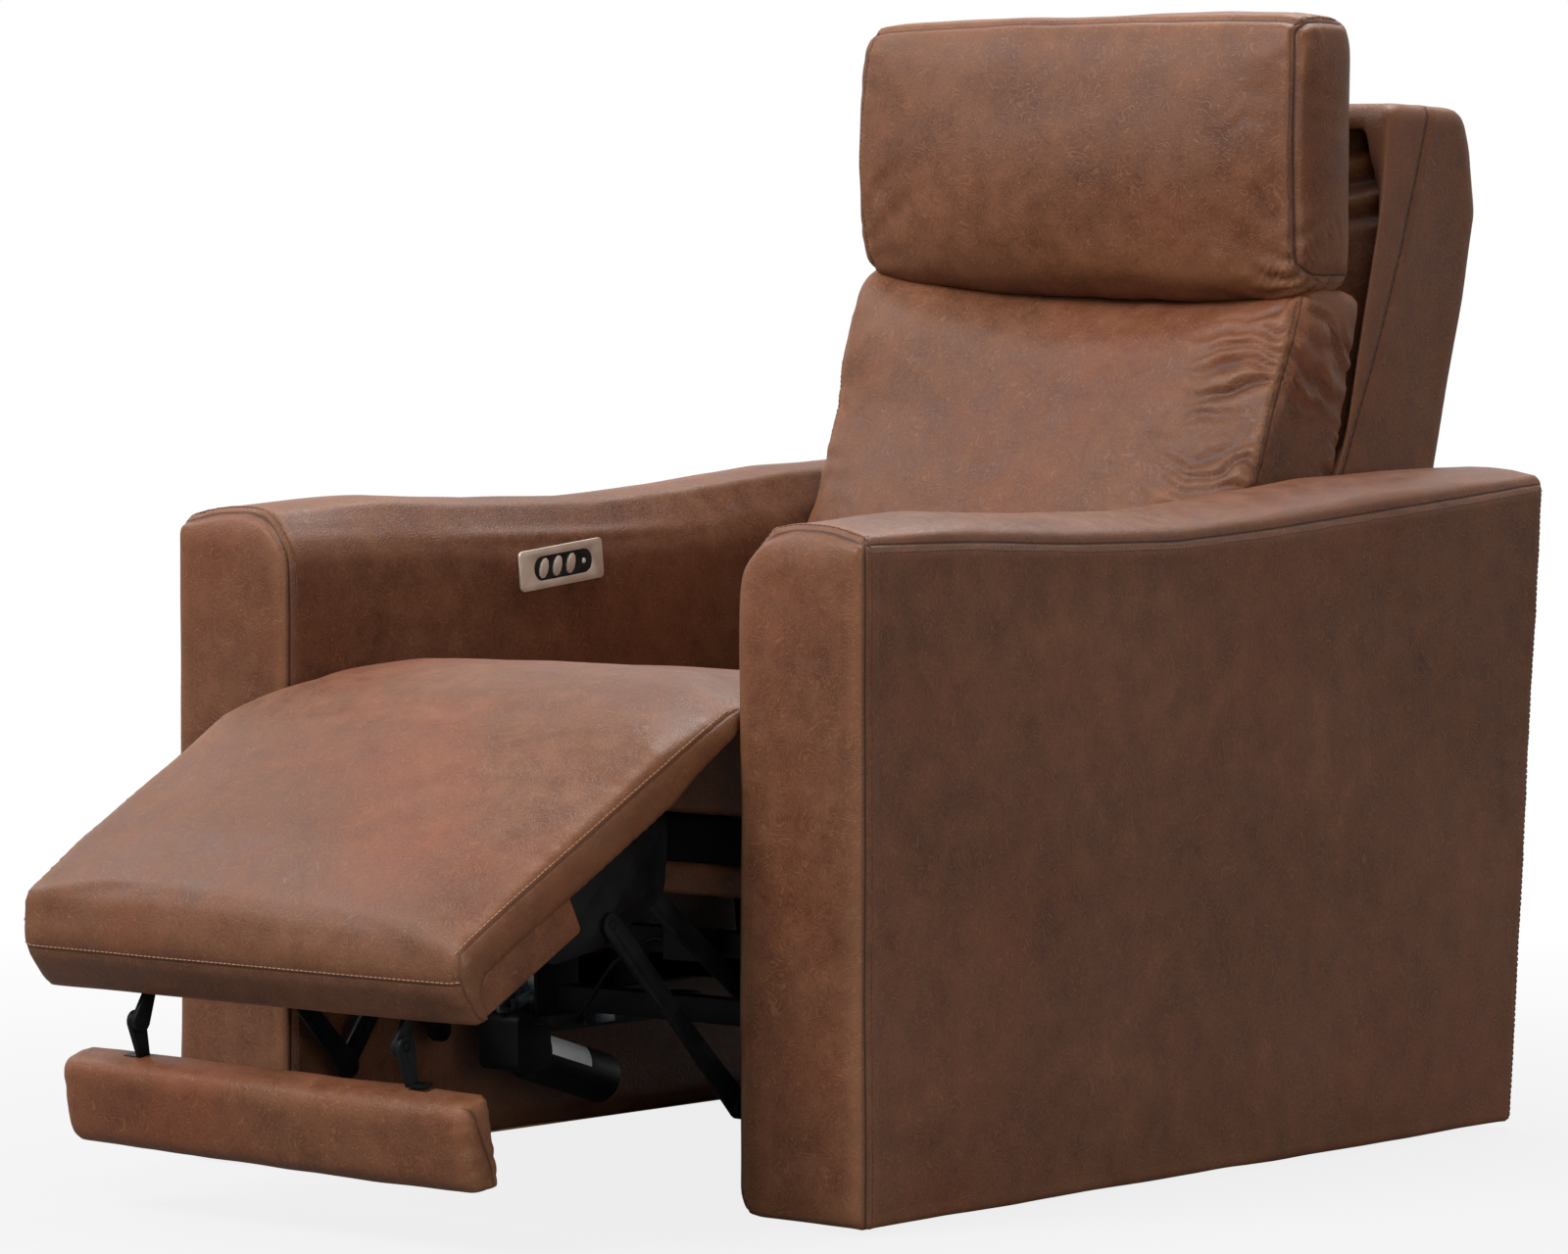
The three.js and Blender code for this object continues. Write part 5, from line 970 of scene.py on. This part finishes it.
# %% Sew the head cushion, fill it and let it fold
HEAD_SIDE = ((930, 1101), (880, 1102), (856, 1094), (852, 980), (856, 862), (880, 850), (930, 850))
rows = [[at(side * (HEAD_HALF - 2), y, z) for y, z in HEAD_SIDE] for side in (1, -1)]
rows.append([at(x, 862, 1104) for x in (-HEAD_HALF + 8, -90, 90, HEAD_HALF - 8)])
rows = lay_all(rows, head)
field = SeamField(head, rows)
up = normals(head)
swell(head, (field.far < 5) | (up[:, 1] > 0.7), 7.0)
ripple(head, 2.0, 130, 21.0)
field = SeamField(head, rows)
gather(head, field, 0, 1.2, 34, 60, (0.1, 0.5), 2.0)
gather(head, field, 0, 6.0, 21, 48, (0.7, 0.98), 6.0)
gather(head, field, 1, 0.6, 40, 40, (0.1, 0.9), 3.0)
sew(head, field, 2.8, 4.5)
head_thread = side_stitches("head_pillow_stitches", head, rows, 7.0)
finish_leather(head, pull_up_leather("head_hide", (6.3, 3.3, 2.1), red=0.15), "headrest")
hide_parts("head_cushion")
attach(head_thread, "headrest")

# %% Shape the back cushion
BACK_HALF = 272.0
BACK_SPREAD, SPREAD_ABOVE = 0.018, (0.60, 0.68)
FAR_BULGE = 14.0
BULGE_ABOVE, BULGE_ABOVE_MM = (0.66, 0.76), (660, 760)  # the same heights, for skin and seam
BROW_ABOVE, BROW_BEFORE = (0.70, 0.80), (0.5, 0.56)
BROW_OUT, SIDE_RISE, FAR_RISE = 9, 22, 12
back = skin_of("back_pillow", ["back_cushion"], 5.0)
soften(back, 9)
co = coords(back)
shift(back, across=BACK_SPREAD * co[:, 0] / MM * smoothstep(*SPREAD_ABOVE, co[:, 2]))
far_share = np.maximum(0, -co[:, 0] / (BACK_HALF * MM)) ** 2
shift(back, across=-FAR_BULGE * far_share * smoothstep(*BULGE_ABOVE, co[:, 2]))
brow = smoothstep(*BROW_ABOVE, co[:, 2]) * (1 - smoothstep(*BROW_BEFORE, co[:, 1]))
rise = SIDE_RISE * (1 - dome(co, BACK_HALF, 0.8)) - FAR_RISE * co[:, 0] / (BACK_HALF * MM)
shift(back, back=-BROW_OUT * brow, up=brow * rise)

# %% Sew the back cushion, fill it and let it fold
BACK_SIDE = ((700, 440), (744, 548), (791, 642), (831, 735), (870, 820))
ARM_ROOM, ROOM_ABOVE = (276, 13), (0.70, 0.78)  # the arms stand 279 mm from the middle
rows = []
for side in (1, -1):
    x = side * (BACK_HALF - 1)
    bulge = FAR_BULGE * (side < 0)
    out = [bulge * float(smoothstep(*BULGE_ABOVE_MM, z)) for _, z in BACK_SIDE]
    rows.append([at(x - by, y, z) for by, (y, z) in zip(out, BACK_SIDE)])
rows = lay_all(rows, back)
field = SeamField(back, rows)
up = normals(back)
swell(back, (field.far < 5) | (up[:, 1] > 0.5) | (up[:, 2] < -0.6), 9.0)
ripple(back, 2.2, 140, 33.0)
field = SeamField(back, rows)
gather(back, field, 0, 5.5, 27, 95, (0.1, 1.0), 11.0)
gather(back, field, 1, 1.2, 44, 50, (0.1, 1.0), 12.0)
press_seams(back, field, 2.4, 4.0, 1.8)
co = coords(back)
room = (ARM_ROOM[0] + ARM_ROOM[1] * smoothstep(*ROOM_ABOVE, co[:, 2])) * MM
co[:, 0] = np.clip(co[:, 0], -room, room)
set_coords(back, co)
store_seams(back, field)
store_surface_bend(back)
back_thread = side_stitches("back_pillow_stitches", back, rows, -7.0)
finish_leather(back, pull_up_leather("back_hide", (2.6, 7.7, 5.0), red=0.22, seam=0.5), "back")
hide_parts("back_cushion")
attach(back_thread, "back")

# %% [markdown]
# ## The back shell
# Behind the cushions stands the outer back: a tall upholstered shell whose side wings show past
# the cushions. A seam runs down each wing, further from the front edge at the top. The wings are
# thinner and cut back toward the front, and the leather inside the recess has deep, soft pleats.

# %% Shape the shell
SHELL_HALF = 274.0
SHELL_FRONT, SHELL_FROM, SHELL_LEAN = 849, 345, math.radians(14.4)
WING, RECESS, WING_CUT = 36.0, 52.0, 36.0
WINGS_ABOVE, CREST_ABOVE, CREST_RISE = (0.62, 0.7), (0.90, 1.0), 12
PLEAT_PITCH, PLEAT_DEPTH, PLEATS_ABOVE = 34, 7, (0.88, 0.94)
PLEAT_SWAY, PLEAT_SWAY_WIDTH = 0.9, 23
shell = skin_of("back_shell_cover", ["back_shell"], 5.0)
relax(shell, 3)
co = coords(shell)
leaning = (co[:, 2] / MM - SHELL_FROM) * math.tan(SHELL_LEAN)
behind = (co[:, 1] - (SHELL_FRONT + ARM_FRONT) * MM) / MM - leaning
inward = np.clip((SHELL_HALF - np.abs(co[:, 0]) / MM) / WING, 0, 1)
high = smoothstep(*WINGS_ABOVE, co[:, 2])
crest = smoothstep(*CREST_ABOVE, co[:, 2])
aside = np.abs(co[:, 0]) / MM
thinner = [0, SHELL_HALF - WING / 2, SHELL_HALF]
slim = np.interp(aside, [0, SHELL_HALF - WING, SHELL_HALF], thinner) - aside
slim *= high * (1 - smoothstep(RECESS + 6, RECESS + 20, behind))
cut_back = WING_CUT * inward * np.clip(1 - np.clip(behind, 0, None) / RECESS, 0, 1) * high
shift(
    shell, slim * np.sign(co[:, 0]) * (1 - crest), cut_back * (1 - 0.8 * crest), CREST_RISE * crest
)
between = aside < SHELL_HALF - WING
in_recess = between & (behind > RECESS - 12) & (behind < RECESS + 16)
sway = PLEAT_SWAY * np.sin(co[:, 0] / MM / PLEAT_SWAY_WIDTH)
pleat = np.sin(co[:, 2] / MM * 2 * math.pi / PLEAT_PITCH + sway)
facing = np.clip(-normals(shell)[:, 1], 0, 1)
pleats_from = smoothstep(*PLEATS_ABOVE, co[:, 2])
shift(shell, back=-PLEAT_DEPTH * pleat * in_recess * facing * pleats_from)

# %% Sew the shell
SHELL_SIDE = ((1089, 1018), (1038, 870), (987, 752), (937, 645), (880, 520))
rows = [[at(side * SHELL_HALF, y, z) for y, z in SHELL_SIDE] for side in (1, -1)]
rows = lay_all(rows, shell)
field = SeamField(shell, rows)
ripple(shell, 1.4, 150, 44.0)
sew(shell, field, 2.2, 4.5)
shell_thread = side_stitches("back_shell_stitches", shell, rows, 5.0)
# The shell takes a little painted shade over its whole hide
finish_leather(shell, pull_up_leather("shell_hide", (8.3, 1.2, 6.6), red=0.25, dark=0.08), "back")
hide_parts("back_shell")
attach(shell_thread, "back")

# %% [markdown]
# ## The foot rest
# A small padded bar hangs below the leg rest on two arms. Its cover is one wrap with its ends
# tucked like a parcel, so its only seams are at the ends.

# %% Foot rest
FOOT_HALF = 272.0
FOOT_TILT = -0.015
foot = skin_of("foot_pillow", ["foot_cushion"], 4.0)
relax(foot, 4)
co = coords(foot)
shift(foot, up=FOOT_TILT * co[:, 0] / MM)
low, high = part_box("foot_cushion")
FOOT_END = (
    (low.y + 0.012, high.z - 0.012),
    ((low.y + high.y) / 2, (low.z + high.z) / 2),
    (high.y - 0.008, low.z + 0.014),
)
rows = [[(side * FOOT_HALF * MM, y, z) for y, z in FOOT_END] for side in (1, -1)]
rows = lay_all(rows, foot)
field = SeamField(foot, rows)
ripple(foot, 1.3, 90, 51.0)
for seam in (0, 1):
    gather(foot, field, seam, 1.2, 20, 24, (0.0, 1.0), 3.0 + seam)
sew(foot, field, 1.6, 4.0, 0.4)
finish_leather(foot, pull_up_leather("foot_hide", (4.9, 2.8, 0.2), red=0.3, seam=0.5), "foot_rest")
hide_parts("foot_cushion")

# %% [markdown]
# ## The mechanism and the other hard pieces
# Stamped links, tubes, rails and boxes keep their shape. Each is copied from its solid, cleaned
# of loose triangles, and given a small rounded edge, because no stamped or moulded edge is razor
# sharp, and it is the rounded edge that catches the light.

# %% Dress the hard pieces
COVERED = {"legrest_board", "front_rail", "seat_frame"}
SOFT_EDGE, HARD_EDGE = 3.0, 0.5  # bevels in millimetres, of covered boards and of bare pieces
replaced = {n for n, o in frame["nodes"].items() if o.hide_render}


def dressed(node):
    """A copy of a solid, with the loose triangles of its flat faces joined."""
    bm = bmesh.new()
    bm.from_mesh(frame["nodes"][node].data)
    bmesh.ops.remove_doubles(bm, verts=bm.verts, dist=2e-5)
    bmesh.ops.dissolve_limit(bm, angle_limit=math.radians(0.6), verts=bm.verts, edges=bm.edges)
    return new_piece(node + "_finished", bare_mesh(bm, node + "_finished"))


for node in sorted(set(frame["nodes"]) - replaced):
    slot = slot_of[node]
    piece = dressed(node)
    edge = piece.modifiers.new("Edge", "BEVEL")
    edge.width = (SOFT_EDGE if node in COVERED else HARD_EDGE) * MM
    edge.segments = 3 if node in COVERED else 2
    edge.limit_method = "ANGLE"
    edge.angle_limit = math.radians(38)
    edge.harden_normals = False
    keep_result(piece)
    piece.data.shade_smooth()
    piece.data.set_sharp_from_angle(angle=math.radians(32))
    piece.data.materials.clear()
    cover = lining if slot == "leather" or node in COVERED else finish[slot]
    piece.data.materials.append(dust_cloth if node == "seat_frame" else cover)
    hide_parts(node)
    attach(piece, frame["nodes"][node]["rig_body"])
print("dressed", len(frame["nodes"]) - len(replaced), "hard pieces")

# %% [markdown]
# ## The sticker on the motor
# The motor's can carries a paper sticker, which is left blank. It is a thin curved sheet that
# follows the can, a little larger in radius, so that it lies on the steel without cutting in.

# %% Blank sticker
CAN_RADIUS, CAN_TILT = 25.0, math.radians(17.0)
STICKER_LIFT, STICKER_WALL = 0.35, 0.25
STICKER_ALONG = (-49, -19, 11)
STICKER_FROM, STICKER_TURN, STICKER_COLUMNS = 8, 52, 12  # degrees round the can, and its columns
can_middle = at(-191, 238 + 56 * math.cos(CAN_TILT), 97 - 56 * math.sin(CAN_TILT))
way = Vector((0, math.cos(CAN_TILT), -math.sin(CAN_TILT)))
columns = []
for k in range(STICKER_COLUMNS + 1):
    angle = math.radians(STICKER_FROM + STICKER_TURN * k / STICKER_COLUMNS)
    rising = math.sin(angle)
    out = Vector((math.cos(angle), rising * math.sin(CAN_TILT), rising * math.cos(CAN_TILT)))
    start = can_middle + out * (CAN_RADIUS + STICKER_LIFT) * MM
    columns.append([start + way * along * MM for along in STICKER_ALONG])
sticker = sheet("motor_sticker", columns, STICKER_WALL, 1.0)
sticker.data.materials.append(
    plain_finish("coated_label_paper", ("#f8f8f8", "#ffffff"), 0.0, (0.4, 0.5), 9, 0.1, 0.7)
)
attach(sticker, "seat")

# %% [markdown]
# ## Floor, light and camera
# The seat stands on a plain pale floor. One large soft lamp shines from the front left and above,
# one from overhead and behind, a weak one from the left, and one low at the right opens the
# shade. The background is white to the camera, in reflections and through clear plastic only, so
# it adds no light to the leather. The floor turns white with its distance from the seat.

# %% Floor
FLOOR_LOW, FLOOR_HIGH = Vector((-30, -30, -0.02)), Vector((30, 30, -0.0005))
SWEEP_FROM, SWEEP_TO, SWEEP_PALE = 0.8, 2.4, 0.84
WHITE = (1, 1, 1, 1)
bm = bmesh.new()
box_mesh(bm, FLOOR_LOW, FLOOR_HIGH)
floor = new_piece("floor", bare_mesh(bm, "floor"))
material, tree, shader = new_material("pale_studio_floor")
feed(tree, shader, {"Base Color": colour("#808080"), "Roughness": 0.9})
seen = add(tree, "ShaderNodeLightPath").outputs["Is Camera Ray"]
glow = add(tree, "ShaderNodeEmission", {"Color": WHITE, "Strength": 1.0}).outputs[0]
where = add(tree, "ShaderNodeNewGeometry").outputs["Position"]
away = add(tree, "ShaderNodeVectorMath", {0: where}, operation="LENGTH").outputs["Value"]
sweep = span(tree, away, SWEEP_FROM, SWEEP_TO, SWEEP_PALE, 1.0)
share = worked(tree, "MULTIPLY", seen, sweep)
mix = add(tree, "ShaderNodeMixShader", {0: share, 1: shader.outputs[0], 2: glow})
feed(tree, tree.nodes["Material Output"], {"Surface": mix.outputs[0]})
floor.data.materials.append(material)


# %% Lamps and surroundings
def soft_lamp(name, place, target, size, power):
    data = bpy.data.lights.new(name, "AREA")
    data.shape = "SQUARE"
    data.size = size
    data.energy = power
    lamp = bpy.data.objects.new(name, data)
    lamp.location = place
    lamp.rotation_euler = (Vector(target) - Vector(place)).to_track_quat("-Z", "Y").to_euler()
    scene.collection.objects.link(lamp)


soft_lamp("front_left_softbox", (-0.9, -3.7, 4.0), (0, 0, 0.6), 2.0, 285)
soft_lamp("overhead_softbox", (-0.2, 1.5, 3.4), (0, 0, 0.6), 1.8, 115)
soft_lamp("left_softbox", (-2.9, -0.8, 3.1), (0, 0, 0.6), 1.6, 52)
soft_lamp("right_fill", (4.3, -3.1, 1.5), (0, 0, 0.5), 2.2, 120)
world = bpy.data.worlds.new("studio")
scene.world = world
world.use_nodes = True
tree = world.node_tree
tree.nodes.clear()
ray = add(tree, "ShaderNodeLightPath").outputs
seen = ray["Is Camera Ray"]
for kind in ("Is Glossy Ray", "Is Transmission Ray"):
    seen = worked(tree, "MAXIMUM", seen, ray[kind])
dim = add(tree, "ShaderNodeBackground", {"Color": WHITE, "Strength": 0.10}).outputs[0]
full = add(tree, "ShaderNodeBackground", {"Color": WHITE, "Strength": 1.0}).outputs[0]
both = add(tree, "ShaderNodeMixShader", {0: seen, 1: dim, 2: full}).outputs[0]
add(tree, "ShaderNodeOutputWorld", {"Surface": both})
print("lamps", len(bpy.data.lights))

# %% Camera
CAMERA_PLACE = (4.2465, -5.0702, 0.8562)
CAMERA_TURN, CAMERA_TIP = math.radians(39.99), math.radians(2.99)
CAMERA_LENS, CAMERA_SENSOR = 157.5, 36.0
camera = bpy.data.objects.new("camera", bpy.data.cameras.new("camera"))
scene.collection.objects.link(camera)
scene.camera = camera
camera.data.lens = CAMERA_LENS
camera.data.sensor_width = CAMERA_SENSOR
camera.data.sensor_fit = "HORIZONTAL"
camera.data.clip_end = 200.0
camera.location = CAMERA_PLACE
level = math.cos(CAMERA_TIP)
look = Vector(
    (-math.sin(CAMERA_TURN) * level, math.cos(CAMERA_TURN) * level, -math.sin(CAMERA_TIP))
)
camera.rotation_euler = look.to_track_quat("-Z", "Y").to_euler()
scene.view_settings.view_transform = "Standard"
